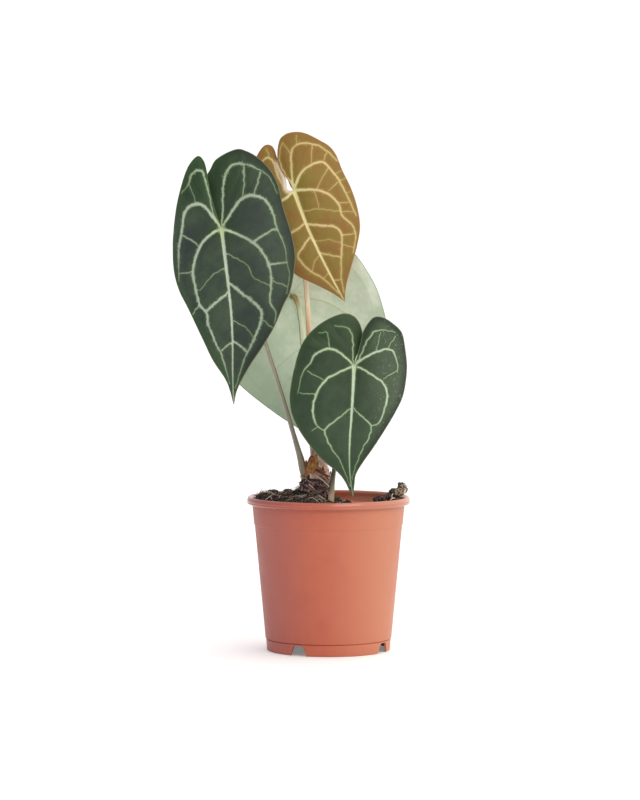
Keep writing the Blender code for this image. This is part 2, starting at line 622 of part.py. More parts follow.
def main():
    clear_scene()
    plastic = material("terracotta_plastic", (0.57, 0.16, 0.095), 0.38)
    peat = material("dark_peat", (0.045, 0.03, 0.02), 0.95)
    root_skin = material("root_skin", (0.10, 0.055, 0.035), 0.85)
    sheath_skin = material("dried_sheath", (0.32, 0.12, 0.05), 0.8)
    bark = material("bark", (0.12, 0.075, 0.045), 0.9)
    stalk_colours = {"left": (0.30, 0.22, 0.17), "young": (0.72, 0.40, 0.27),
                     "rear": (0.55, 0.58, 0.30), "right": (0.30, 0.32, 0.22)}
    blade_colours = {"left": (0.035, 0.065, 0.035), "young": (0.25, 0.15, 0.035),
                     "rear": (0.42, 0.52, 0.34), "right": (0.045, 0.09, 0.04)}

    build_pot(plastic)
    mix = build_mix(peat)
    root = build_root(root_skin)
    cut(mix, root_clearance_cutter())

    for key, stalk in STALKS.items():
        stalk_mat = material(f"stalk_{key}", stalk_colours[key], 0.45)
        tube(f"leaf_stalk_{key}", stalk["route"], stalk["widths"], stalk_mat)
        low, rising = Vector(stalk["route"][0]), Vector(stalk["route"][1])
        below = low - (rising - low).normalized() * 1.2 * GAP
        socket_route = (below,) + stalk["route"][:5]
        host = mix if key == "right" else root
        cut(host, make_cutter(tube(f"socket_{key}", socket_route, stalk["widths"][:1] * 2, None,
                                   extra=1.3 * GAP)))
    for key, blade in BLADES.items():
        blade_mat = material(f"blade_{key}", blade_colours[key], 0.5)
        build_blade(f"leaf_blade_{key}", blade, blade_mat)

    build_sheath("bud_sheath_front", sheath_skin, 24.0, 0.8, 126.0, 143.0, 0.5)
    build_sheath("bud_sheath_left", sheath_skin, -38.0, 0.22, 129.5, 141.0, 0.8)
    build_sheath("bud_sheath_right", sheath_skin, 110.0, 0.55, 119.0, 130.0, 2.2)

    for number, (x, y, size, turn) in enumerate(CHIPS, 1):
        centre = (x, y, lie_on_mix(x, y, size, turn))
        build_chip(f"bark_chip_{number}", bark, centre, size, turn, number)
    build_chip("bark_chunk", bark, CHUNK_CENTRE, CHUNK_SIZE, CHUNK_TURN, 21, CHUNK_TILT, 2)

    stand_point = bpy.data.objects.new("stand_point", None)
    bpy.context.scene.collection.objects.link(stand_point)
    for obj in list(bpy.data.objects):
        if obj.type == 'MESH':
            obj.parent = stand_point
    stand_point.location = (-FOOTPRINT_X * MM, -FOOTPRINT_Y * MM, 0)


main()
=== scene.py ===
"""Potted anthurium in a 12 cm nursery pot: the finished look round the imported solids.

Sizes are in millimetres from the pot's own axis, with the pot's foot at height 0. They are turned
to metres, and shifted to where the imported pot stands, when a mesh is made. Colours are the usual
0-255 screen values, and are made linear when they reach a node.
"""
import math
from types import SimpleNamespace

import bmesh
import bpy
import numpy as np
from mathutils import Euler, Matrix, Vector, noise
from mathutils.geometry import delaunay_2d_cdt


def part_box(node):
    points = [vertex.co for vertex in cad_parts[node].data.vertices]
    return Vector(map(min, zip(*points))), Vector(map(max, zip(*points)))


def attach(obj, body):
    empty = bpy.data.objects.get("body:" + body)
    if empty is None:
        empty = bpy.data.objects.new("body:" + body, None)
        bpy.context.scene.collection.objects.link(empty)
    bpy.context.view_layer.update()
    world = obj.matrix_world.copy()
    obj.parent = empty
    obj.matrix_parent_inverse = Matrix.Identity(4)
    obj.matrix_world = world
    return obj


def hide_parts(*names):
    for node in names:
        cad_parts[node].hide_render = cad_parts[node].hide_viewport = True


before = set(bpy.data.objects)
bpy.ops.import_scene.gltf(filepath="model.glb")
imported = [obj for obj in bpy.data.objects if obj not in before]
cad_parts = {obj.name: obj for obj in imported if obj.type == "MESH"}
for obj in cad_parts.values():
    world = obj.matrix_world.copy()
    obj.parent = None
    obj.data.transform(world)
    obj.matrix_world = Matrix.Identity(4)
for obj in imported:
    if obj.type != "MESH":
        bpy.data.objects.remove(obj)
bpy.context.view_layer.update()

MM = 0.001
POT_LOW, POT_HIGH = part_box("nursery_pot")
POT_AXIS = np.array([(POT_LOW.x + POT_HIGH.x) / 2, (POT_LOW.y + POT_HIGH.y) / 2, 0.0])

# Nursery pot
RIM_TOP = 113.0
RIM_BOTTOM = 107.6
FLOOR_TOP = 9.0
FLOOR_BOTTOM = 7.6
FOOT_RADIUS = 45.3
FOOT_RING_TOP = 8.8
SHOULDER_Z = 92.5
WALL = 1.2
INSIDE_FROM = (45.1, 0.095)  # radius at height 0 and its rise, just inside the wall's skin
WALL_LOW_RADIUS = 46.6
WALL_TOP_RADIUS = 55.9
INNER_WALL_TOP = 104.0
POT_SEGMENTS = 256
FIRST_NOTCH = math.radians(-29.0)
NOTCH_COUNT = 4
NOTCH_FOOT_WIDTH = 12.8
NOTCH_TOP_WIDTH = 7.2
NOTCH_HEIGHT = 7.4
NOTCH_FROM_TO = (39.0, 50.0)
DRAIN_HOLE_RADIUS = 4.0
DRAIN_HOLE_CIRCLE = 36.0
DRAIN_HOLE_FROM_TO = (5.0, 11.0)

# Rootstock: (height, radius) up its stem
ROOT_X, ROOT_Y = -9.5, 0.0
ROOT_PROFILE = (
    (98.0, 6.0), (102.0, 9.5), (107.0, 11.6), (113.0, 12.4), (119.0, 12.0), (124.0, 10.8),
    (128.5, 9.2), (132.5, 7.8), (137.0, 6.6), (141.0, 5.4), (143.0, 4.2),
)

# Potting mix
MIX_LOW = 101.5
MIX_RISE = 14.0
MIX_RISE_FROM = 18.0
MIX_RISE_RUN = 34.0
MIX_BACK_FALL = 0.06
MIX_BUMPS = (1.6, 9.0)
MIX_EDGE = (54.5, 0.88, 4.0)
# Its mounds: (across, back, height, spread across, spread back); the small ones lie lengthwise
MOUNDS = ((ROOT_X, ROOT_Y, 6.0, 14.0, 14.0), (41.0, 1.0, 11.5, 11.0, 13.0),
          (-50.0, -2.0, 2.2, 9.0, 18.0))
MOUNDS += tuple((x, y, height, spread_out, spread_out / 0.6) for x, y, height, spread_out in (
    (7.5, -8.0, 7.5, 6.5), (15.2, -8.0, 8.0, 4.6), (1.2, -20.0, 3.4, 5.5), (-21.0, -2.0, 3.2, 5.0)))

# Leaf blades
LEAF_GRID = 0.85
LEAF_EDGE_STEP = 0.8
SIDES = ("left", "right")


# ------------ lines and distances

def smooth_line(points, step):
    """Points about `step` apart on a smooth curve through the given ones."""
    pts = np.array(points, float)
    pts = np.vstack([2 * pts[0] - pts[1], pts, 2 * pts[-1] - pts[-2]])
    line = []
    for a, b, c, d in zip(pts, pts[1:], pts[2:], pts[3:]):
        count = max(1, round(float(np.linalg.norm(c - b)) / step))
        for t in np.arange(count) / count:
            line.append(0.5 * (2 * b + (c - a) * t + (2 * a - 5 * b + 4 * c - d) * t ** 2
                               + (3 * b - a - 3 * c + d) * t ** 3))
    line.append(pts[-2])
    return np.array(line)


def smooth_step(low, high, values):
    share = np.clip((values - low) / (high - low), 0, 1)
    return share * share * (3 - 2 * share)


def inside(polygon, points):
    hit = np.zeros(len(points), bool)
    for (x0, z0), (x1, z1) in zip(polygon, np.roll(polygon, -1, axis=0)):
        if z0 != z1:
            crosses = (z0 > points[:, 1]) != (z1 > points[:, 1])
            hit ^= crosses & (points[:, 0] < x0 + (x1 - x0) * (points[:, 1] - z0) / (z1 - z0))
    return hit


def edge_distance(points, lines):
    """Distance from each point to the edge of the nearest line, and that line's width there.

    A line is its widths, evenly spread along it, and then its route.
    """
    best = np.full(len(points), 99.0)
    width = np.zeros(len(points))
    for *given, route in lines:
        widths = np.interp(np.linspace(0, 1, len(route)), np.linspace(0, 1, len(given)), given)
        for a, b, wide_a, wide_b in zip(route, route[1:], widths, widths[1:]):
            run = b - a
            share = np.clip((points - a) @ run / max(run @ run, 1e-9), 0, 1)
            wide = wide_a + (wide_b - wide_a) * share
            gap = np.linalg.norm(points - a - share[:, None] * run, axis=1) - wide / 2
            closer = gap < best
            best = np.where(closer, gap, best)
            width = np.where(closer, wide, width)
    return best, width


# ------------ meshes

def new_object(name, data):
    """An object in the scene."""
    obj = bpy.data.objects.new(name, data)
    bpy.context.scene.collection.objects.link(obj)
    return obj


def new_mesh_object(name, points, faces, loose=False):
    """A mesh object from points in millimetres round the pot's axis, or a loose one for a tree."""
    mesh = bpy.data.meshes.new(name)
    placed = np.asarray(points, float) * MM + (0.0 if loose else POT_AXIS)
    mesh.from_pydata(placed.tolist(), [], faces)
    mesh.shade_smooth()
    return bpy.data.objects.new(name, mesh) if loose else new_object(name, mesh)


def outward_faces(obj):
    """Turns the faces of a closed mesh outwards."""
    bm = bmesh.new()
    bm.from_mesh(obj.data)
    bmesh.ops.recalc_face_normals(bm, faces=bm.faces)
    bm.to_mesh(obj.data)
    bm.free()
    return obj


def ring(sides, z, radius, x=0.0, y=0.0):
    """Points round an upright line, at a radius that may follow the angle."""
    points = []
    for i in range(sides):
        angle = 2 * math.pi * i / sides
        out = radius(angle) if callable(radius) else radius
        points.append((x + out * math.cos(angle), y + out * math.sin(angle), z))
    return points


def grid_faces(grid):
    """The faces between neighbours in a grid of point numbers, row after row."""
    corners = (grid[:-1, :-1], grid[:-1, 1:], grid[1:, 1:], grid[1:, :-1])
    return np.stack(corners, axis=-1).reshape(-1, 4).tolist()


def tube_faces(rows, sides, first=0):
    """The faces between rings of `sides` points each."""
    grid = first + np.arange(rows * sides).reshape(rows, sides)
    return grid_faces(np.hstack([grid, grid[:, :1]]))


def rod_faces(rows, sides, first=0):
    """The same, with a flat face at each end."""
    last = first + (rows - 1) * sides
    return tube_faces(rows, sides, first) + [tuple(range(first + sides - 1, first - 1, -1)),
                                             tuple(range(last, last + sides))]


def oval(middle, across, away, sides):
    """Points round a strand, at its half width across and its half thickness away."""
    return [middle + math.cos(angle) * across + math.sin(angle) * away
            for angle in (2 * math.pi * side / sides for side in range(sides))]


def closed_solid(name, start, rings, end):
    """A solid from rings of points between a start point and an end point."""
    sides, last = len(rings[0]), 1 + len(rings) * len(rings[0])
    faces = tube_faces(len(rings), sides, 1)
    for i in range(sides):
        j = (i + 1) % sides
        faces += [(0, 1 + i, 1 + j), (last - sides + i, last - sides + j, last)]
    points = [start, *(point for points in rings for point in points), end]
    return outward_faces(new_mesh_object(name, points, faces))


def finished_mesh(obj):
    """The mesh of an object with its modifiers run."""
    depsgraph = bpy.context.evaluated_depsgraph_get()
    return bpy.data.meshes.new_from_object(obj.evaluated_get(depsgraph))


def store_numbers(obj, name, values):
    stored = obj.data.attributes.new(name, 'FLOAT', 'POINT')
    stored.data.foreach_set("value", np.asarray(values, np.float32))


def finish_piece(obj, finish, nodes=()):
    """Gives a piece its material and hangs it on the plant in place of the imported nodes."""
    obj.data.materials.clear()
    obj.data.materials.append(finish)
    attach(obj, "root")
    if nodes:
        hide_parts(*nodes)
    return obj


# ------------ node trees

class Field:
    """What a node puts out, so that sums and products of it are written as for numbers."""

    def __init__(self, socket):
        self.socket, self.tree = socket, socket.id_data

    def __add__(self, other):
        return maths('ADD', self, other)

    def __sub__(self, other):
        return maths('SUBTRACT', self, other)

    def __rsub__(self, other):
        return maths('SUBTRACT', other, self)

    def __mul__(self, other):
        return maths('MULTIPLY', self, other)

    def __rtruediv__(self, other):
        return maths('DIVIDE', other, self)


def rgb(red, green, blue):
    """The linear value of a colour."""
    linear = []
    for part in (red / 255, green / 255, blue / 255):
        linear.append(part / 12.92 if part <= 0.04045 else ((part + 0.055) / 1.055) ** 2.4)
    return (*linear, 1.0)


def put(value, socket):
    """Links a field to a socket, or sets the socket to a number, colour or setting."""
    if isinstance(value, Field):
        value.tree.links.new(value.socket, socket)
    elif socket.type == 'RGBA' and len(value) == 3:
        socket.default_value = rgb(*value)
    else:
        socket.default_value = value


def add_node(tree, kind, values=None, **settings):
    """A node with its settings made, then its sockets filled; returns all it puts out, by name."""
    made = tree.nodes.new(kind)
    for key, value in settings.items():
        setattr(made, key, value)
    for socket, value in (values or {}).items():
        put(value, made.inputs[socket])
    return {key: Field(socket) for number, socket in enumerate(made.outputs)
            for key in (number, socket.name)}


def geo(tree, kind, values=None, **settings):
    """A geometry node; returns the first thing that it puts out."""
    return add_node(tree, 'GeometryNode' + kind, values, **settings)[0]


SOCKET_KINDS = {float: 'NodeSocketFloat', int: 'NodeSocketInt', tuple: 'NodeSocketColor'}
COLOUR, NUMBER, GEOMETRY, SKIN = (0.5, 0.5, 0.5, 1.0), 0.0, 'NodeSocketGeometry', 'NodeSocketMaterial'


def new_tree(name, kind, inputs, outputs):
    """An empty group with named sockets; each is given its first value, or what kind it is."""
    tree = bpy.data.node_groups.new(name, kind)
    for way, sockets in (('INPUT', inputs), ('OUTPUT', outputs)):
        for label, value in sockets.items():
            made = tree.interface.new_socket(label, in_out=way,
                                             socket_type=SOCKET_KINDS.get(type(value), value))
            if type(value) in SOCKET_KINDS:
                made.default_value = value
    return tree, add_node(tree, 'NodeGroupInput'), tree.nodes.new('NodeGroupOutput').inputs


def maths(operation, a, b=0.0):
    tree = (a if isinstance(a, Field) else b).tree
    return add_node(tree, 'ShaderNodeMath', {0: a, 1: b}, operation=operation)[0]


def spread(value, low, high, out_low=0.0, out_high=1.0):
    """Eases `value` from low..high to out_low..out_high, held at both ends."""
    return add_node(value.tree, 'ShaderNodeMapRange',
                    {'Value': value, 'From Min': low, 'From Max': high, 'To Min': out_low,
                     'To Max': out_high}, interpolation_type='SMOOTHSTEP')[0]


def blend(share, a, b):
    """Colour a where the share is 0, and colour b where it is 1."""
    tree = next(part.tree for part in (share, a, b) if isinstance(part, Field))
    return add_node(tree, 'ShaderNodeMix', {0: share, 6: a, 7: b}, data_type='RGBA')[2]


def layered(colour, *layers):
    """A colour with layers (share, colour) laid over it in turn."""
    for share, over in layers:
        colour = blend(share, colour, over)
    return colour


def ramp(value, stops):
    """The colours of the stops (place, colour), in turn, as the value goes from 0 to 1."""
    made = value.tree.nodes.new('ShaderNodeValToRGB')
    put(value, made.inputs['Fac'])
    elements = made.color_ramp.elements
    while len(elements) < len(stops):
        elements.new(0.5)
    for element, (place, colour) in zip(elements, stops):
        element.position = place
        element.color = rgb(*colour)
    return Field(made.outputs['Color'])


def attribute(tree, name):
    return add_node(tree, 'ShaderNodeAttribute', attribute_name=name)['Fac']


def object_place(tree, stretch=(1.0, 1.0, 1.0)):
    """Object coordinates in millimetres, squeezed by `stretch`."""
    place = add_node(tree, 'ShaderNodeTexCoord')['Object']
    return add_node(tree, 'ShaderNodeMapping',
                    {'Vector': place, 'Scale': [1000.0 / part for part in stretch]})[0]


def vector(tree, *parts):
    return add_node(tree, 'ShaderNodeCombineXYZ', dict(enumerate(parts)))[0]


def cloud(place, size, detail=3.0, roughness=0.55, warp=0.0):
    """Soft noise with blotches about `size` millimetres across."""
    return add_node(place.tree, 'ShaderNodeTexNoise',
                    {'Vector': place, 'Scale': 1.0 / size, 'Detail': detail,
                     'Roughness': roughness, 'Distortion': warp})['Fac']


def group(tree, effect, values):
    """One of the shared effects below, with this finish's own values."""
    return add_node(tree, 'ShaderNodeGroup', values, node_tree=effect)


# ------------ shared effects

def build_mottle():
    """Two colours in soft blotches, with a finer second layer."""
    tree, given, out = new_tree(
        "mottle", 'ShaderNodeTree',
        {"Colour": COLOUR, "Blotches": COLOUR, "Size": 8.0, "Cover": 0.5, "Softness": 0.15},
        {"Colour": COLOUR, "Share": NUMBER})
    place = object_place(tree)
    both = (cloud(place, given["Size"], 4.0) * 0.72
            + cloud(place, given["Size"] * 0.27, 2.0) * 0.28)
    edge = 1.0 - given["Cover"]
    share = spread(both, edge - given["Softness"], edge + given["Softness"])
    put(blend(share, given["Colour"], given["Blotches"]), out["Colour"])
    put(share, out["Share"])
    return tree


def build_grain():
    """A fine pebbled height, coarse and fine together."""
    tree, given, out = new_tree("grain", 'ShaderNodeTree', {"Size": 1.0, "Fine share": 0.4},
                                {"Height": NUMBER})
    place = object_place(tree)
    put(cloud(place, given["Size"], 2.0) * (1.0 - given["Fine share"])
        + cloud(place, given["Size"] * 0.3, 2.0) * given["Fine share"], out["Height"])
    return tree


def build_streaks():
    """Upright streaks along a stalk or a strip of bark."""
    tree, given, out = new_tree(
        "streaks", 'ShaderNodeTree',
        {"Colour": COLOUR, "Streaks": COLOUR, "Width": 0.8, "Strength": 0.5},
        {"Colour": COLOUR, "Height": NUMBER})
    lines = cloud(object_place(tree, (1.0, 1.0, 14.0)), given["Width"], 3.0, 0.6, 0.3)
    share = spread(lines, 0.42, 0.66) * given["Strength"]
    put(blend(share, given["Colour"], given["Streaks"]), out["Colour"])
    put(lines, out["Height"])
    return tree


def build_vein_mask():
    """1 on a vein and 0 on the leaf between, with a feathered edge that wanders a little."""
    tree, given, out = new_tree(
        "vein_mask", 'ShaderNodeTree',
        {"Distance": 1.0, "Wander": 0.5, "Soft inside": 0.3, "Soft outside": 0.3},
        {"Mask": NUMBER})
    place = object_place(tree)
    ragged = cloud(place, 2.6, 2.0) * 0.5 + cloud(place, 0.8, 3.0) * 0.5
    gap = given["Distance"] + (ragged - 0.5) * given["Wander"]
    put(spread(gap, given["Soft inside"] * -1.0, given["Soft outside"], 1.0, 0.0), out["Mask"])
    return tree


def build_rays():
    """Streaks that fan out from the top of the stalk, as the fine nerves of a leaf do."""
    tree, given, out = new_tree(
        "leaf_rays", 'ShaderNodeTree', {"Around": 0.0, "Out": 0.0, "Rays": 14.0, "Length": 30.0},
        {"Share": NUMBER})
    fan = vector(tree, given["Around"] * given["Rays"],
                 maths('DIVIDE', given["Out"], given["Length"]))
    put(spread(cloud(fan, 1.0, 3.0, 0.6), 0.36, 0.66), out["Share"])
    return tree


MOTTLE = build_mottle()
GRAIN = build_grain()
STREAKS = build_streaks()
VEIN_MASK = build_vein_mask()
RAYS = build_rays()


# ------------ parts of a finish

def new_finish(name, gloss=0.5, **constants):
    """A material and its Principled shader, with the values that are the same all over."""
    finish = bpy.data.materials.new(name)
    finish.use_nodes = True
    shader = finish.node_tree.nodes['Principled BSDF'].inputs
    shader['Specular IOR Level'].default_value = gloss
    for socket, value in constants.items():
        shader[socket.replace('_', ' ')].default_value = value
    return finish, finish.node_tree, shader


def blotched(tree, colour, *layers):
    """A colour under layers of blotches, and where the first layer shows.

    A layer is its colour, the size of its blotches, its cover and its softness.
    """
    first = None
    for blotches, size, cover, softness in layers:
        made = group(tree, MOTTLE, {"Colour": colour, "Blotches": blotches, "Size": size,
                                    "Cover": cover, "Softness": softness})
        colour = made["Colour"]
        first = first or made["Share"]
    return colour, first


def streaked(tree, colour, streaks, width, strength):
    """A colour with streaks, and their height."""
    made = group(tree, STREAKS, {"Colour": colour, "Streaks": streaks, "Width": width,
                                 "Strength": strength})
    return made["Colour"], made["Height"]


def grain(tree, size, fine_share):
    return group(tree, GRAIN, {"Size": size, "Fine share": fine_share})["Height"]


def vein_mask(distance, wander, soft_inside, soft_outside):
    return group(distance.tree, VEIN_MASK,
                 {"Distance": distance, "Wander": wander, "Soft inside": soft_inside,
                  "Soft outside": soft_outside})["Mask"]


def dress(shader, colour, roughness, height, depth):
    """Gives the shader its colour, its roughness and a relief `depth` millimetres deep."""
    put(colour, shader["Base Color"])
    put(roughness, shader["Roughness"])
    relief = add_node(height.tree, 'ShaderNodeBump',
                      {'Height': height, 'Distance': depth * MM, 'Strength': 1.0})
    put(relief['Normal'], shader['Normal'])


def crumbly_finish(name, gloss, colour, layers, roughness, size, depth, change=None):
    """A dull finish in layers of blotches, its roughness following the first, with a grain."""
    finish, tree, shader = new_finish(name, gloss)
    colour, share = blotched(tree, colour, *layers)
    if change:
        colour = change(tree, colour)
    dress(shader, colour, spread(share, 0.0, 1.0, *roughness), grain(tree, size, 0.45), depth)
    return finish


# ------------ leaf blades
#
# Outlines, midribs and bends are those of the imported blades: (across, up) from the junction.
# A vein is its widths, evenly spread along it, and then its route; it stays on its half.

BLADES = {
    "left": dict(
        junction=(-77.5, -26.0, 309.5),
        midrib=((0, 0), (2.4, -19), (5.4, -44), (7.2, -62), (8.1, -82), (8.1, -104), (8.7, -127)),
        midrib_widths=(2.6, 1.9, 1.1, 0.7),
        left=((0, 0), (-2.5, 6.5), (-5.4, 15), (-8, 24.5), (-9.8, 33.5), (-11.4, 43), (-13.4, 49.4),
            (-17.4, 53), (-22.9, 48), (-27.2, 39), (-32.3, 21), (-35.2, 3.5), (-36.4, -12),
            (-35.6, -30), (-31.6, -44.5), (-24, -59), (-13.4, -80.5), (-6.2, -95), (2.5, -108),
            (6.2, -117), (8.7, -127)),
        right=((0, 0), (-2.4, 5.8), (-5, 12), (-10, 22), (-12, 32), (-10.8, 39), (-8.3, 43.6),
            (-4.7, 50), (3.3, 55.2), (11.3, 58), (17.1, 56.8), (25, 52.6), (33.8, 44.3), (40.3, 32.7),
            (44.6, 15.2), (50.1, -2.2), (53, -16.7), (52.6, -28.3), (49.7, -44.3), (44.6, -55.2),
            (38.1, -70.4), (29.4, -85), (21.4, -97), (14.2, -109.5), (10.5, -118), (8.7, -127)),
        notch_lean=-0.22, lobe=56.0, yaw=0.26, lean=-0.16, bow=14.0, crown=(16.0, 18.0), valley=3.0,
        lobe_back=(10.0, 10.0), tuck=(0.0, 8.0), half=(38.0, 50.0), ripple=0.8, rib=0.36, spur=2.2),
    "young": dict(
        junction=(-25.6, 3.0, 338.0),
        midrib=((0, 0), (2.2, -6), (7, -19), (11.4, -30), (17.2, -42.5), (23, -54.3), (29, -66),
            (37.4, -81.4)),
        midrib_widths=(3.1, 2.2, 1.5, 0.8),
        left=((0, 0), (-2.6, -0.7), (-4.8, 0.9), (-5.4, 4.6), (-6.0, 9), (-8.4, 14.5), (-10.8, 20),
            (-12.8, 25), (-14.2, 29.5), (-16.5, 32.5), (-20.2, 33), (-23.5, 30.4), (-26.8, 25),
            (-30, 18), (-31.6, 9), (-31.4, -3), (-28.8, -16), (-23.6, -29), (-16.5, -41), (-7.7, -53),
            (1, -61), (7, -64.6), (16.5, -69), (27.5, -74.5), (34.8, -79.2), (37.4, -81.4)),
        right=((0, 0), (-2.2, 2.9), (-4, 7.3), (-7, 11.7), (-9.5, 16), (-11, 20), (-11.7, 24.2),
            (-11.4, 31), (-9.9, 37), (-7, 40), (-3.3, 41.8), (3.3, 42.5), (10, 41), (19.4, 36.3),
            (26, 32.3), (31.2, 25.7), (35.6, 14.7), (41.7, 2.2), (46.4, -11.7), (48.6, -26.4),
            (46.5, -40.3), (43, -52.8), (39.2, -66), (37.8, -74), (37.4, -81.4)),
        notch_lean=0.0, lobe=42.0, yaw=-0.14, lean=-0.2, bow=9.0, crown=(9.0, 12.0), valley=2.5,
        lobe_back=(7.0, 6.0), tuck=(4.5, 0.0), half=(38.0, 40.0), ripple=0.7, rolled=(4.2, 24.0),
        rib=0.36, spur=2.8),
    "rear": dict(
        junction=(-27.8, 36.0, 260.4),
        midrib=((0, 0), (6, -20), (12.2, -40), (18.2, -60), (24.2, -80), (29.8, -99), (35, -117)),
        midrib_widths=(2.8, 1.2),
        left=((0, 0), (-5.2, 9), (-9.3, 20), (-11.6, 31), (-13.4, 38.7), (-17.9, 42.5), (-24.6, 41),
            (-32.8, 33.5), (-41, 20), (-47.7, 3.7), (-51.4, -12.7), (-52.2, -29.8), (-49.9, -44.7),
            (-45.4, -57.4), (-38.7, -66.3), (-29, -75.2), (-14.2, -86.8), (-3.7, -94.2), (6.3, -100.6),
            (16, -106.8), (26, -112.4), (35, -117)),
        right=((0, 0), (-3, 8), (-6.6, 18.5), (-8.8, 29), (-8.2, 38.5), (-3, 45.4), (6.7, 49.9),
            (18.6, 49.2), (32.8, 42.5), (46.9, 30.9), (55.9, 18.6), (63.3, 5.2), (67.8, -8.2),
            (70.4, -20), (71, -35), (68.5, -52.2), (62.6, -70.8), (53.6, -89.4), (44, -105),
            (35, -117)),
        notch_lean=0.0, lobe=46.0, yaw=0.08, lean=0.14, bow=-11.0, crown=(-11.0, -13.0), valley=-2.5,
        lobe_back=(-6.0, -5.0), tuck=(0.0, 0.0), half=(55.0, 55.0), ripple=-1.0, rib=0.14, spur=2.2,
        top_faces_back=True),
    "right": dict(
        junction=(18.4, -31.0, 210.4),
        midrib=((0, 0), (-0.4, -10), (-1.4, -29), (-2.9, -50), (-3.4, -64.5), (-2.9, -79), (-0.7, -95)),
        midrib_widths=(2.6, 1.6, 0.95, 0.6),
        left=((0, 0), (1.1, 6), (3.8, 11.5), (6.4, 18), (5.9, 24.6), (3.6, 31.5), (-0.7, 36.2),
            (-7.2, 37.8), (-15.9, 35.2), (-25.4, 29.7), (-34, 21.4), (-39.1, 12.3), (-43, -0.7),
            (-45.7, -14.5), (-46.5, -24.6), (-44.9, -34.8), (-40.6, -44.2), (-35.5, -52.2),
            (-28.3, -61.6), (-21, -69.2), (-11.6, -76.8), (-6.5, -83.4), (-3.3, -90), (-0.7, -95)),
        right=((0, 0), (1.9, 5), (3, 9.5), (4.3, 14.5), (5.4, 19), (6.5, 24), (8.7, 28.3), (11.6, 32.3),
            (14.5, 35), (18.1, 35.5), (23.2, 34), (29, 30), (33.3, 26), (35.7, 21.5), (37.3, 13),
            (38.8, 0), (38, -11.6), (35.5, -23.2), (29.7, -34.8), (22.5, -46.4), (13.8, -59.4),
            (6.5, -69.6), (1.4, -78.3), (0.2, -86), (-0.7, -95)),
        notch_lean=0.24, lobe=37.0, yaw=-0.22, lean=-0.12, bow=9.0, crown=(12.0, 11.0), valley=3.5,
        lobe_back=(8.0, 5.0), tuck=(6.0, 0.0), half=(46.0, 38.0), ripple=0.8, rib=0.36, spur=1.5),
}

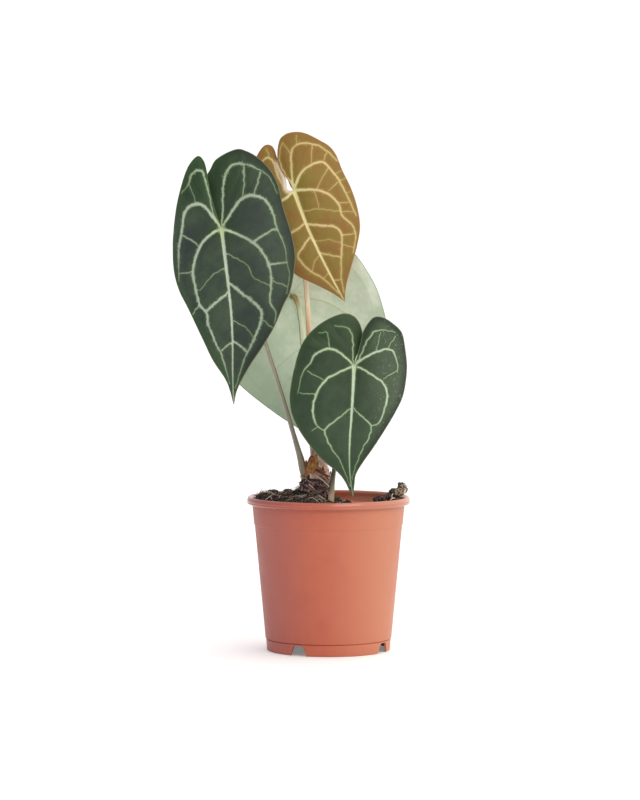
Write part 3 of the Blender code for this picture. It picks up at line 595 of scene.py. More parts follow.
VEINS = {
    ("left", "left"): (
        (0.7, 0.9, 1.4, 0.6, ((0, 1), (-6, 11.5), (-10.5, 30), (-14, 41), (-18, 42.5), (-22.5, 39),
         (-24, 33), (-29.5, 26))),
        (1.1, 2.2, 1.5, 0.6, ((0, 0), (-6, 8), (-12.5, 16.5), (-20, 18), (-27, 12), (-29, 0),
         (-31.5, -16), (-31.5, -38.5))),
        (1.5, 1.9, 1.6, 1.2, 0.6, ((0, 0), (-7.5, -3.5), (-15.5, -12.5), (-21, -29.5), (-19, -43),
         (-16, -54.5), (-10.8, -61), (-9.5, -69), (-3.5, -84), (0.5, -92), (6, -112))),
        (1.4, 1.5, ((5.5, -45), (-3.5, -52.5), (-11, -59.5))),
        (1.0, 1.0, ((8, -82), (4, -84), (0.5, -87.5))),
        (0.6, 0.6, ((-23.5, 32.5), (-20, 22.5), (-19, 19))),
        (1.0, 0.9, ((-29, -4.5), (-20, -9.5), (-16.5, -12.5))),
        (0.9, 0.8, ((-21, -30.5), (-31, -32.5))), (0.9, 0.8, ((-16, -55), (-21, -62))),
        (0.7, 0.6, ((3.5, -27), (-8, -35), (-14, -43), (-18.5, -44.5)))),
    ("left", "right"): (
        (1.0, 1.2, 1.4, 0.8, 0.4, ((0, 1), (1, 14), (1, 27), (2.5, 39), (8, 46.5), (16, 47), (24, 44.5),
         (34, 38), (40, 26))),
        (1.0, 2.1, 1.1, 0.6, 0.3, ((0, 0), (5.5, 9.5), (13.5, 21), (22, 24.5), (31.5, 21), (37, 11),
         (40, 0), (45.5, -12), (47, -24), (49, -33), (47, -46.5))),
        (1.5, 1.7, 1.6, 1.1, 0.5, ((0, 0), (7.5, -2), (19, -7), (28, -14.5), (34, -25), (36, -37),
         (35, -51.5), (39, -60), (38.5, -68))),
        (1.3, 1.8, 1.4, 0.9, 0.5, ((6, -39), (16, -47), (28, -57.5), (28, -68), (22, -83), (17, -93),
         (10, -115))),
        (1.2, 1.1, ((8.5, -81), (13, -83.5), (18, -88))), (1.0, 0.8, ((16, 47), (16, 34), (15, 23))),
        (1.0, 0.8, ((28, 41), (26, 35), (23.5, 25))), (1.3, 1.0, ((23.5, -9), (35, -1.5), (39.5, 0))),
        (1.1, 0.9, ((35, -25.5), (47, -24))), (0.7, 0.6, ((37, -37), (47, -41.5))),
        (0.7, 0.6, ((28.5, -64.5), (37, -71))),
        (0.7, 0.6, ((3.5, -17.5), (12.5, -22), (19.5, -27), (24, -35.5), (35, -40.5))),
        (0.7, 0.6, ((8, -65.5), (17, -70.5), (23, -78)))),
    ("young", "left"): (
        (0.9, 1.5, 1.3, 0.6, ((-6.5, 1), (-10.5, 8), (-12.6, 14), (-14.5, 19.6), (-16.8, 22.4),
         (-19.6, 23.5), (-22.4, 21.3), (-25.5, 16))),
        (0.7, 0.5, ((-18.5, 23.5), (-18.8, 27), (-20.4, 30.4))),
        (1.6, 2.0, 1.4, 0.8, ((0, 0), (-4, -4.6), (-7.8, -7.3), (-15, -12), (-22, -20), (-19, -32),
         (-12.5, -41))),
        (1.2, 1.4, 0.6, ((-8, -7.5), (-17, -6), (-24, 0), (-28, 12))),
        (1.5, 1.0, ((7.3, -25), (1, -30), (-7, -34), (-14, -39))),
        (1.6, 0.8, ((12, -34.5), (6, -43), (3.5, -47), (5, -51.5), (11.5, -58.5), (22.5, -65.5),
         (33, -75.5))),
        (0.7, 0.6, ((18, -48.5), (14.5, -55), (13.5, -60))), (0.7, 0.6, ((25.5, -60.5), (21.5, -65.5))),
        (0.6, 0.5, ((-22, -20), (-27, -12)))),
    ("young", "right"): (
        (1.5, 0.9, ((0, 0), (-1.5, 15), (-1.5, 28), (3, 33.5), (10, 34), (18, 32.5), (25, 28),
         (32, 21.5))),
        (1.1, 0.6, ((0, 0), (-3, 7), (-6.6, 12), (-9.2, 17.5), (-10.1, 23), (-9.8, 29.5), (-8, 34.5))),
        (1.9, 0.9, ((0, 0), (3.5, 9), (9, 16), (17, 20), (22, 20), (29, 13), (36, 2), (42, -10),
         (46, -19))),
        (2.0, 0.8, ((0, 0), (7, 0), (17, 0), (26, -3.5), (32.5, -10), (36, -19.5), (43, -26),
         (45.5, -34), (43.5, -46))),
        (1.8, 0.8, ((10, -25), (22, -26), (31, -27.5), (35, -33.5), (35, -48), (35, -64), (37, -75.5))),
        (1.2, 1.0, ((20, -46), (34, -49))), (0.9, 0.8, ((30, -66), (34.5, -65.5))),
        (0.8, 0.6, ((13.5, 32.5), (13, 20))), (0.8, 0.6, ((24.5, 28), (21.5, 21.5))),
        (0.6, 0.5, ((2, 34), (2, 40))), (0.8, 0.5, ((-2.2, 26.4), (-5.5, 31), (-8.2, 34.8))),
        (0.8, 0.6, ((25.5, 16.5), (22, 11), (17, 1))), (0.8, 0.6, ((32, 5.5), (25.5, -0.5))),
        (0.8, 0.7, ((33, -9.5), (41, -9))), (0.6, 0.4, ((31, 12.3), (35, 14.2))),
        (0.6, 0.4, ((32.5, 7), (38, 8.6))), (0.6, 0.4, ((37.8, -2.4), (41.6, -1.4))),
        (0.7, 0.6, ((34.5, -16), (43.5, -16))), (0.7, 0.6, ((7.5, -15.5), (17, -14), (34, -15.5))),
        (0.7, 0.6, ((15, 0), (18.5, -13.5))), (0.9, 0.7, ((35.5, -33), (44.5, -32))),
        (0.7, 0.6, ((36, -40), (43.5, -42))), (0.6, 0.5, ((15.5, -37.5), (27, -36.5), (35, -39)))),
    ("rear", "left"): (
        (1.2, 1.7, 1.1, 0.4, ((0, 0), (-8, 14), (-13, 27), (-18, 36), (-27, 32))),
        (1.3, 2.1, 1.5, 0.5, ((0, 0), (-12, 7), (-26, 12), (-37, 8), (-43, -6), (-46, -22),
         (-44, -38))),
        (1.6, 2.3, 1.6, 1.1, 0.4, ((0, 0), (-8, -6), (-22, -16), (-33, -30), (-37, -46), (-32, -60),
         (-22, -72), (-6, -84), (10, -94), (26, -107))),
        (1.8, 2.0, 1.2, ((11, -37), (-3, -48), (-16, -60), (-24, -70))),
        (1.5, 1.6, 1.1, ((20, -66), (8, -76), (0, -88))), (1.0, 0.8, ((-26, 12), (-27, 32))),
        (1.0, 0.8, ((-22, -16), (-43, -6))), (0.9, 0.8, ((-33, -30), (-45, -30))),
        (0.8, 0.7, ((5, -18), (-10, -28), (-34, -38))), (0.8, 0.7, ((15, -50), (0, -62), (-14, -78)))),
    ("rear", "right"): (
        (1.2, 1.7, 1.1, 0.4, ((0, 0), (2, 20), (5, 34), (12, 42), (26, 40))),
        (1.3, 2.1, 1.5, 0.5, ((0, 0), (12, 13), (26, 22), (42, 22), (52, 12), (59, -2), (63, -18))),
        (1.6, 2.2, 1.6, 0.5, ((0, 0), (8, -1.5), (23, -4.5), (36, -10.5), (50, -22), (57, -36),
         (58, -52), (52, -68))),
        (1.6, 2.2, 1.6, 0.5, ((11, -37), (26, -42), (42, -54), (49, -70), (47, -86), (39, -104))),
        (1.6, 1.8, 0.9, ((22, -73), (32, -79), (45, -92))), (1.0, 0.8, ((26, 22), (26, 40))),
        (1.0, 0.8, ((36, -10.5), (52, 12))), (1.0, 0.8, ((50, -22), (65, -24))),
        (0.9, 0.8, ((42, -54), (57, -46))), (0.8, 0.7, ((5, -18), (22, -22), (44, -30), (58, -44))),
        (0.8, 0.7, ((15, -50), (30, -58), (48, -76)))),
    ("right", "left"): (
        (0.7, 0.9, 0.6, ((0, 0), (-1, 10), (-1, 19), (-2.5, 25), (-6, 28), (-14, 29))),
        (0.9, 1.5, 0.9, 0.4, ((0, 0), (-5, 5), (-12, 11), (-19, 12.5), (-27.5, 9), (-32, 2), (-37, -5),
         (-39.5, -14.5), (-40.5, -20))),
        (1.1, 1.3, 1.3, 0.7, ((0, 0), (-8, -3), (-19.5, -9), (-26, -17.5), (-29.5, -28), (-29, -37),
         (-26, -43.5), (-21, -46.5))),
        (0.8, 1.0, 0.7, 0.4, ((-2, -30), (-11, -37), (-20, -44.5), (-21, -49), (-16, -59.5), (-10, -69),
         (-3, -87))),
        (0.7, 0.6, ((-17.5, 12.5), (-19.5, 23.5), (-25.5, 24))),
        (0.7, 0.6, ((-33.5, -3.5), (-21.5, -10))), (0.7, 0.6, ((-28, -20), (-40, -19))),
        (0.6, 0.5, ((-25.5, -43), (-30.5, -46.5)))),
    ("right", "right"): (
        (0.8, 0.9, 0.9, 0.5, ((0, 0), (4.5, 6.5), (8.5, 16.5), (15, 24.5), (22, 26), (30, 24))),
        (1.0, 1.4, 1.1, 0.6, ((0, 0), (7, 5.5), (16, 10), (24, 12), (28.5, 10), (31.5, 1.5),
         (31.5, -5.5))),
        (1.0, 1.2, 1.2, 0.7, ((0, 0), (6.5, -2.5), (16.5, -8.5), (22.5, -15), (24, -22), (22, -31),
         (18.5, -40.5), (12.5, -43.5))),
        (0.8, 0.9, 0.7, 0.4, ((-0.5, -30), (7, -37.5), (12, -43.5), (10, -53.5), (5, -62), (0, -77),
         (-1, -82.5))),
        (0.7, 0.6, ((24.5, 12.5), (30, 21.5))), (0.6, 0.5, ((16, 11.5), (19.5, 24.5))),
        (0.7, 0.6, ((31, -4), (21.5, -9.5)))),
}

EDGE_THICKNESS, THICKER_INSIDE = 0.42, 0.48
QUILT_HEIGHT = 0.34
GROOVE_DEPTH = 0.16
ROLL_HEIGHT = 1.1
EDGE_ROUNDING = 0.22
NARROWEST_WITH_SPURS = 1.2

# What is stored on every point of a blade
LEAF_MARKS = ("vein_gap", "vein_width", "margin", "heart", "lobe", "low", "spur_gap", "around",
              "roll", "off_rib", "sideways", "upper")


def along_and_off(blade, across, up):
    """Distance from the junction towards the tip, and sideways from that line."""
    tip = np.array(blade["midrib"][-1], float)
    axis = tip / np.hypot(*tip)
    return across * axis[0] + up * axis[1], up * axis[0] - across * axis[1]


def blade_depth(blade, side, across, up):
    """Front-to-back place of a point of the blade, measured from the junction (+ is away)."""
    length = np.hypot(*blade["midrib"][-1])
    along, sideways = along_and_off(blade, across, up)
    rib_along, rib_off = along_and_off(blade, *np.array(blade["midrib"], float).T)
    middle = np.where(along > 0, np.interp(along, rib_along, rib_off),
                      -blade["notch_lean"] * along)
    off = np.abs(sideways - middle) / blade["half"][side]
    below = np.maximum(0, along) / length
    above = np.maximum(0, -along) / blade["lobe"]
    near_tip = 1.0 - 0.75 * below ** 2
    depth = -blade["yaw"] * sideways + blade["lean"] * np.maximum(0, along)
    depth += blade["bow"] * below ** 2
    depth += blade["crown"][side] * off ** 2 * near_tip
    depth -= blade["valley"] * np.sin(np.pi * np.minimum(1, off)) * near_tip
    depth += blade["lobe_back"][side] * above ** 2
    depth += blade["tuck"][side] * np.exp(-2.2 * off) * above / (above + 0.25)
    depth += blade["ripple"] * np.minimum(1, off) ** 3 * np.sin(along / 9.0 + 2.0 * side)
    return depth


def kept_runs(route, keep):
    """The stretches of a route whose points are all kept."""
    runs, run = [], []
    for point, wanted in zip(route, keep):
        if wanted:
            run.append(point)
        elif run:
            runs.append(run)
            run = []
    return [r for r in runs + [run] if len(r) > 1]


def half_sheet(blade, side, veins):
    """Triangles of one half in front elevation, with edges along its veins."""
    outline = smooth_line(blade[SIDES[side]], LEAF_EDGE_STEP)
    outline = np.vstack([outline, smooth_line(blade["midrib"], LEAF_EDGE_STEP)[-2:0:-1]])
    border = [(0.0, np.vstack([outline, outline[:1]]))]
    points = list(map(tuple, outline))
    edges = [(i, (i + 1) % len(outline)) for i in range(len(outline))]
    laid = []
    for *_, route in veins:
        keep = inside(outline, route) & (edge_distance(route, border)[0] > 0.6 * LEAF_GRID)
        keep &= np.hypot(*route.T) > 3.0
        if laid:
            keep &= edge_distance(route, laid)[0] > 0.6 * LEAF_GRID
        for run in kept_runs(route, keep):
            edges += [(len(points) + i, len(points) + i + 1) for i in range(len(run) - 1)]
            points += list(map(tuple, run))
        laid.append((0.0, route))
    low, high = outline.min(0), outline.max(0)
    rows = np.arange(low[1], high[1], LEAF_GRID * math.sqrt(3) / 2)
    grid = np.array([(x + 0.5 * LEAF_GRID * (row % 2), z) for row, z in enumerate(rows)
                     for x in np.arange(low[0], high[0], LEAF_GRID)])
    grid = grid[inside(outline, grid)]
    grid = grid[edge_distance(grid, border)[0] > 0.5 * LEAF_GRID]
    grid = grid[edge_distance(grid, laid)[0] > 0.45 * LEAF_GRID]
    points += list(map(tuple, grid))
    made = delaunay_2d_cdt([Vector(p) for p in points], edges, [], 0, 1e-5)
    points = np.array([tuple(p) for p in made[0]])
    triangles = np.array([face for face in made[2] if len(face) == 3])
    triangles = triangles[inside(outline, points[triangles].mean(axis=1))]
    used, renumbered = np.unique(triangles, return_inverse=True)
    return points[used], renumbered.reshape(-1, 3)


def sheet_normals(blade, side, points):
    """Unit normals of the bent sheet, towards the viewer's side."""
    step = 0.4
    across, up = points.T

    def slope(right, higher):
        return (blade_depth(blade, side, across + right, up + higher)
                - blade_depth(blade, side, across - right, up - higher)) / (2 * step)

    normals = np.stack([slope(step, 0.0), -np.ones(len(points)), slope(0.0, step)], axis=1)
    return normals / np.linalg.norm(normals, axis=1)[:, None]


def join_halves(blade, halves):
    """One sheet from two halves: the right half takes the left half's points on the midrib."""
    (points, triangles), (points_r, triangles_r) = halves
    same = {}
    for place in smooth_line(blade["midrib"], LEAF_EDGE_STEP):
        on_left, on_right = [int(np.argmin(np.linalg.norm(half - place, axis=1)))
                             for half in (points, points_r)]
        same[on_right] = on_left
    fresh = [i for i in range(len(points_r)) if i not in same]
    renumber = np.zeros(len(points_r), int)
    renumber[fresh] = len(points) + np.arange(len(fresh))
    renumber[list(same)] = list(same.values())
    return fresh, np.vstack([triangles, renumber[triangles_r]]), same


def boundary_edges(triangles):
    """Open edges in the direction of their triangle."""
    edges = np.vstack([triangles[:, [0, 1]], triangles[:, [1, 2]], triangles[:, [2, 0]]])
    order = np.sort(edges, axis=1)
    _, first, count = np.unique(order, axis=0, return_index=True, return_counts=True)
    return edges[first[count == 1]]


def wavering(route, width, seed):
    """A vein's smooth route, wavering to both sides: a thin one more than a broad one."""
    line = smooth_line(route, 1.1)
    sway = 0.18 + 0.34 * float(smooth_step(1.7, 0.6, width))
    size = 2.2 + 1.2 * width
    runs = np.gradient(line, axis=0)
    runs /= np.maximum(np.linalg.norm(runs, axis=1), 1e-9)[:, None]
    for i, (across, up) in enumerate(line.copy()):
        near_ends = min(1.0, i / 3.0, (len(line) - 1 - i) / 3.0)
        off = 2.0 * sway * near_ends * noise.noise(Vector((across / size, up / size, seed)))
        line[i] += off * np.array([-runs[i][1], runs[i][0]])
    return line


def vein_spurs(veins, seed, longest):
    """Short side twigs that leave the broad veins on alternate sides."""
    rng = np.random.default_rng(seed)
    spurs = []
    for *widths, line in veins:
        if max(widths) < NARROWEST_WITH_SPURS:
            continue
        runs = np.gradient(line, axis=0)
        at, side = 5, 1.0
        while at < len(line) - 3:
            run = runs[at] / np.linalg.norm(runs[at])
            outward = side * np.array([-run[1], run[0]])
            length = rng.uniform(0.8, longest)
            lean = rng.uniform(0.3, 0.9)
            bend = rng.uniform(-0.6, 0.6)
            steps = np.linspace(0.0, 1.0, 5)[:, None]
            spurs.append((0.9, 0.3, line[at] + length * (outward * steps + lean * run * steps
                                                         + bend * run * steps ** 2)))
            side = -side
            at += int(rng.integers(2, 8))
    return spurs


def build_blade(key, finish):
    blade = BLADES[key]
    fields, halves = [], []
    midrib = (*blade["midrib_widths"], smooth_line(blade["midrib"], 1.5))
    for side in (0, 1):
        veins = [(*widths, wavering(route, max(widths), 3.7 * number))
                 for number, (*widths, route) in enumerate(VEINS[key, SIDES[side]])]
        points, triangles = half_sheet(blade, side, veins)
        gap, width = edge_distance(points, [midrib] + veins)
        spur = edge_distance(points, vein_spurs(veins, 11 + side, blade["spur"]))[0]
        margin = edge_distance(points, [(0.0, smooth_line(blade[SIDES[side]], 1.5))])[0]
        off_rib = edge_distance(points, [(0.0, midrib[-1])])[0]
        depth = blade_depth(blade, side, *points.T)
        place = np.stack([points[:, 0], depth, points[:, 1]], axis=1) + blade["junction"]
        fields.append([place, sheet_normals(blade, side, points), gap, width, margin, spur,
                       off_rib])
        halves.append((points, triangles))
    fresh, triangles, same = join_halves(blade, halves)
    for on_right, on_left in same.items():
        shared = fields[0][1][on_left] + fields[1][1][on_right]
        fields[0][1][on_left] = shared / np.linalg.norm(shared)
    place, normal, gap, width, margin, spur, off_rib = [np.concatenate([a, b[fresh]])
                                                        for a, b in zip(fields[0], fields[1])]
    flat = np.concatenate([halves[0][0], halves[1][0][fresh]])

    rolled, roll_top = blade.get("rolled", (1.0, 0.0))
    on_left = np.concatenate([np.ones(len(halves[0][0])), np.zeros(len(fresh))])
    out_above = -along_and_off(blade, *flat.T)[0]
    roll = on_left * smooth_step(rolled, 0.6 * rolled, margin) * smooth_step(-3.0, 1.0, out_above)
    roll *= smooth_step(roll_top + 3.0, roll_top - 3.0, out_above)
    centre_distance = gap + width / 2
    thick = EDGE_THICKNESS + THICKER_INSIDE * smooth_step(0.0, 5.0, margin)
    quilt = QUILT_HEIGHT * smooth_step(0.2, 4.5, gap) * smooth_step(0.0, 7.0, margin)
    groove = GROOVE_DEPTH * np.exp(-(centre_distance / (0.55 * width)) ** 2)
    groove *= smooth_step(0.7, 1.8, width)
    rib = blade["rib"] * width * np.exp(-(centre_distance / (0.5 * width)) ** 2)
    rib *= smooth_step(0.0, 2.0, margin)
    quilt += ROLL_HEIGHT * roll * np.sin(np.pi * np.minimum(1.0, margin / rolled))
    top = (thick / 2 + quilt - groove)[:, None]
    under = (thick / 2 + rib - 0.6 * quilt)[:, None]
    front, back = (under, top) if blade.get("top_faces_back") else (top, under)

    count = len(place)
    edges = boundary_edges(triangles)
    rim = np.unique(edges)
    outward = np.zeros((count, 3))
    for a, b in edges:
        run = flat[b] - flat[a]
        push = np.array([run[1], 0.0, -run[0]]) / max(np.hypot(*run), 1e-9)
        outward[a] += push
        outward[b] += push
    outward /= np.maximum(np.linalg.norm(outward, axis=1), 1e-9)[:, None]
    rounded = place[rim] + outward[rim] * EDGE_ROUNDING
    middle = {int(v): 2 * count + i for i, v in enumerate(rim)}
    points = np.vstack([place + normal * front, place - normal * back, rounded])
    faces = triangles.tolist() + (triangles[:, ::-1] + count).tolist()
    for a, b in edges.tolist():
        faces.append((b, a, middle[a], middle[b]))
        faces.append((middle[b], middle[a], a + count, b + count))
    obj = new_mesh_object(f"leaf_{key}", points, faces)

    upper = np.concatenate([np.ones(count), np.zeros(count), np.full(len(rim), 0.5)])
    if blade.get("top_faces_back"):
        upper = 1.0 - upper
    heart = np.hypot(*flat.T)
    along, sideways = along_and_off(blade, *flat.T)
    lobe = smooth_step(0.0, 0.9 * blade["lobe"], -along)
    low = along / np.hypot(*blade["midrib"][-1])
    marks = (gap, width, margin, heart, lobe, low, spur, np.arctan2(sideways, along), roll,
             off_rib, sideways / max(blade["half"]))
    for label, values in zip(LEAF_MARKS, marks):
        store_numbers(obj, label, np.concatenate([values, values, values[rim]]))
    store_numbers(obj, "upper", upper)
    return finish_piece(obj, finish, [f"leaf_blade_{key}"])


# In these looks the colour over the right half and its share are painted light and shade, and the
# right-hand edge colour is painted shade.
LEAF_LOOKS = {
    "left": dict(
        cell=(67, 83, 64), cell_dark=(50, 62, 56), patch=24.0, lobe=(52, 78, 42),
        lobe_dark=(38, 56, 36), near=(50, 66, 48), edge=(56, 82, 46), edge_right=(28, 40, 23),
        glow=0.75, halo=(58, 80, 50), fringe=0.7, ragged=3.8, fuzz=(130, 151, 118), specks=0.0,
        vein=(188, 199, 182), vein_lobe=(168, 188, 152), vein_right=(160, 169, 156),
        vein_rib=(196, 206, 190), vein_heart=(190, 204, 158), rim=(160, 150, 132), rim_share=(0.1, 0.4),
        faded=(48, 58, 52), faded_share=0.55, rays=8.0, under=(156, 176, 142),
        under_dark=(140, 162, 128), under_vein=(178, 190, 156), under_shade=(140, 160, 128),
        under_line=(120, 142, 108), under_rim=(96, 116, 82), rib=0.8, gloss=(0.44, 0.6)),
    "right": dict(
        cell=(60, 78, 57), cell_dark=(48, 65, 47), patch=22.0, lobe=(62, 84, 56),
        lobe_dark=(38, 56, 34), near=(44, 60, 40), edge=(54, 76, 48), edge_right=(24, 36, 22), glow=0.3,
        halo=(56, 82, 46), fringe=0.5, ragged=2.4, fuzz=(144, 166, 122), specks=0.4,
        vein=(192, 208, 186), vein_lobe=(156, 178, 140), vein_right=(194, 208, 198),
        vein_rib=(190, 208, 186), vein_heart=(186, 204, 168), rim=(150, 158, 126),
        rim_share=(0.5, 0.35), faded=(82, 96, 76), faded_share=0.55, rays=5.0, under=(158, 180, 146),
        under_dark=(142, 166, 132), under_vein=(180, 194, 160), under_shade=(142, 164, 132),
        under_line=(122, 144, 110), under_rim=(98, 120, 84), rib=0.8, gloss=(0.42, 0.58)),
    "young": dict(
        cell=(132, 114, 48), cell_dark=(137, 98, 50), patch=11.0, lobe=(138, 102, 46),
        lobe_dark=(128, 100, 42), near=(118, 110, 38), edge=(136, 100, 48), edge_right=(132, 100, 46),
        glow=0.55, halo=(142, 118, 54), fringe=0.5, ragged=2.4, fuzz=(180, 152, 90), specks=0.0,
        vein=(210, 191, 140), vein_lobe=(210, 192, 136), vein_right=(208, 190, 140),
        vein_rib=(230, 217, 162), vein_heart=(220, 214, 156), rim=(172, 106, 84), rim_share=(0.5, 0.65),
        faded=(136, 104, 52), faded_share=0.1, rays=8.0, under=(214, 198, 174),
        under_dark=(194, 170, 146), under_vein=(206, 178, 142), under_shade=(176, 146, 116),
        under_line=(168, 134, 104), under_rim=(150, 104, 88), rib=0.8, gloss=(0.44, 0.6)),
    # The rear blade's under colours are near white: its pale green, raised with painted light in place
    # of the light through the thin leaf.
    "rear": dict(
        cell=(58, 74, 58), cell_dark=(46, 60, 50), patch=26.0, lobe=(52, 78, 44),
        lobe_dark=(40, 60, 38), near=(48, 66, 46), edge=(58, 80, 50), edge_right=(58, 80, 50), glow=0.5,
        halo=(66, 90, 56), fringe=0.65, ragged=3.0, fuzz=(126, 152, 108), specks=0.0,
        vein=(170, 188, 158), vein_lobe=(164, 186, 146), vein_right=(170, 188, 158),
        vein_rib=(186, 202, 176), vein_heart=(180, 198, 146), rim=(120, 136, 104), rim_share=(0.3, 0.3),
        faded=(60, 76, 60), faded_share=0.2, rays=8.0, under=(248, 255, 238),
        under_dark=(216, 232, 208), under_vein=(222, 238, 212), under_shade=(152, 174, 148),
        under_line=(178, 200, 170), under_rim=(120, 142, 106), rib=0.3, gloss=(0.46, 0.62)),
}


def leaf_top(on, look):
    """Upper face between the veins: dark cells, streaked lobes, a greener margin, and painted shade and
    light.
    """
    tree = on.heart.tree
    rays = group(tree, RAYS, {"Around": on.around, "Out": on.heart, "Rays": look.rays,
                              "Length": 40.0})["Share"]
    cells, _ = blotched(tree, look.cell, (look.cell_dark, look.patch, 0.5, 0.16))
    # Painted shade: the lobes' dark colour laid by the notch, where the overlapping lobe shades it.
    notch_shade = (spread(on.sideways, -0.55, -0.1) * spread(on.sideways, 0.0, 0.25, 1.0, 0.0)
             * spread(on.lobe, 0.1, 0.5, 0.0, 0.6))
    lobes = layered(look.lobe_dark, (rays, look.lobe), (notch_shade, look.lobe_dark))
    # The margin's own greener colour, darkened on the right-hand margin by painted shade.
    edge = blend(spread(on.sideways, -0.1, 0.3), look.edge, look.edge_right)
    return layered(cells, (spread(on.lobe, 0.05, 0.6, 0.0, 0.85), lobes),
                   # Painted light and shade over the right half: darker on some blades, paler on
                   # others.
                   (spread(on.sideways, 0.0, 0.6, 0.0, look.faded_share), look.faded),
                   (spread(on.heart, 4.0, 24.0, 0.7, 0.0), look.near),
                   (spread(on.margin, 0.0, 7.0, 0.75, 0.0), edge),
                   (spread(on.vein_gap, 0.0, 2.0, 0.75, 0.0), look.halo),
                   (spread(on.heart, 0.5, 4.5, look.glow, 0.0), look.vein_heart))


def vein_colour(on, look):
    """Silvery veins: each half its own tone, the midrib brighter, greener by the stalk."""
    return layered(look.vein, (on.lobe, look.vein_lobe),
                   (spread(on.sideways, 0.05, 0.4), look.vein_right),
                   (spread(on.vein_gap, -0.8, 0.1, 0.0, 0.6), look.fuzz),
                   (spread(on.off_rib, 0.4, 1.6, 1.0, 0.0), look.vein_rib),
                   (spread(on.heart, 3.0, 15.0, 1.0, 0.0), look.vein_heart))


def leaf_under(on, look):
    """Under face: pale and clouded, with raised ribs, each with a thin darker line."""
    below, _ = blotched(on.heart.tree, look.under, (look.under_dark, 16.0, 0.5, 0.2))
    ribs = vein_mask(on.vein_gap, 0.5, 0.3, 0.6) * spread(on.vein_width, 0.5, 1.8, 0.3, look.rib)
    off_centre = on.vein_gap + on.vein_width * 0.5
    line = vein_mask(off_centre - 0.3, 0.5, 0.2, 0.3) * spread(on.vein_width, 1.2, 2.0, 0.0, 0.5)
    shade = on.low * 0.6 - on.sideways
    return layered(below, (ribs, look.under_vein), (line, look.under_line),
                   (spread(shade, 0.1, 1.1, 0.0, 0.8), look.under_shade),
                   (spread(on.margin, 0.1, 0.7, 0.6, 0.0), look.under_rim))


def leaf_finish(key):
    """A blade's two faces: dark cells between pale veins above, pale with ribs below."""
    look = SimpleNamespace(**LEAF_LOOKS[key])
    finish, tree, shader = new_finish(f"leaf_{key}", 0.22, Sheen_Weight=0.02,
                                      Sheen_Roughness=0.45)
    on = SimpleNamespace(**{name: attribute(tree, name) for name in LEAF_MARKS})
    place = object_place(tree)
    wander = (spread(on.heart, 12.0, 45.0, 0.4, 1.0)
              * spread(on.off_rib, 0.5, 2.0, 1.0, look.ragged)
              * spread(on.vein_width, 0.6, 1.4, 0.35, 1.0))
    fringe = maths('MAXIMUM', vein_mask(on.spur_gap, 0.8, 0.2, 0.45),
                   vein_mask(on.vein_gap, wander * 1.7, 0.3, 0.9))
    fringe = fringe * (spread(on.vein_width, 0.6, 1.3) * look.fringe)
    veins = (vein_mask(on.vein_gap, wander, 0.32, 0.36)
             * spread(on.vein_width, 0.4, 1.5, 0.55, 1.0)
             * spread(cloud(place, 7.0, 2.0), 0.3, 0.6, 0.82, 1.0)
             * spread(on.low, 0.45, 1.0, 1.0, 0.84))
    # Pale specks over the right half, in the right-hand vein colour.
    pale_specks = (spread(cloud(place, 1.5, 3.0, 0.7), 0.6, 0.7, 0.0, look.specks)
            * spread(on.sideways, 0.1, 0.6))
    rim = (spread(on.sideways, -0.2, 0.2, *look.rim_share)
           * spread(on.margin, 0.05, 0.6, 1.0, 0.0))
    top = layered(leaf_top(on, look), (fringe, look.fuzz), (veins, vein_colour(on, look)),
                  (pale_specks, look.vein_right), (rim, look.rim), (on.roll, look.under))
    dress(shader, blend(spread(on.upper, 0.3, 0.7), leaf_under(on, look), top),
          spread(cloud(place, 6.0, 3.0), 0.3, 0.7, *look.gloss), grain(tree, 1.1, 0.35), 0.16)
    return finish


# ------------ geometry node trees

def bake_tree(obj, tree, values):
    """Runs a geometry node tree on an object and returns the result as a plain mesh object."""
    name = obj.name
    modifier = obj.modifiers.new(tree.name, 'NODES')
    modifier.node_group = tree
    for item in tree.interface.items_tree:
        if item.item_type == 'SOCKET' and item.in_out == 'INPUT' and item.name in values:
            modifier[item.identifier] = values[item.name]
    bpy.context.view_layer.update()
    mesh = finished_mesh(obj)
    mesh.name = name
    obj.modifiers.remove(modifier)
    bpy.data.objects.remove(obj)
    return new_object(name, mesh)


def marked(geometry, name, value, domain='POINT'):
    """Stores a number under a name that a finish can read."""
    return geo(geometry.tree, 'StoreNamedAttribute',
               {'Geometry': geometry, 'Name': name, 'Value': value}, data_type='FLOAT',
               domain=domain)


def rotation(angles):
    return add_node(angles.tree, 'FunctionNodeEulerToRotation', {0: angles})[0]


def end_tree(geometry, skin, out):
    """Makes instances real and gives the whole its finish."""
    plain = geo(geometry.tree, 'RealizeInstances', {'Geometry': geometry})
    put(geo(geometry.tree, 'SetMaterial', {'Geometry': plain, 'Material': skin}), out)


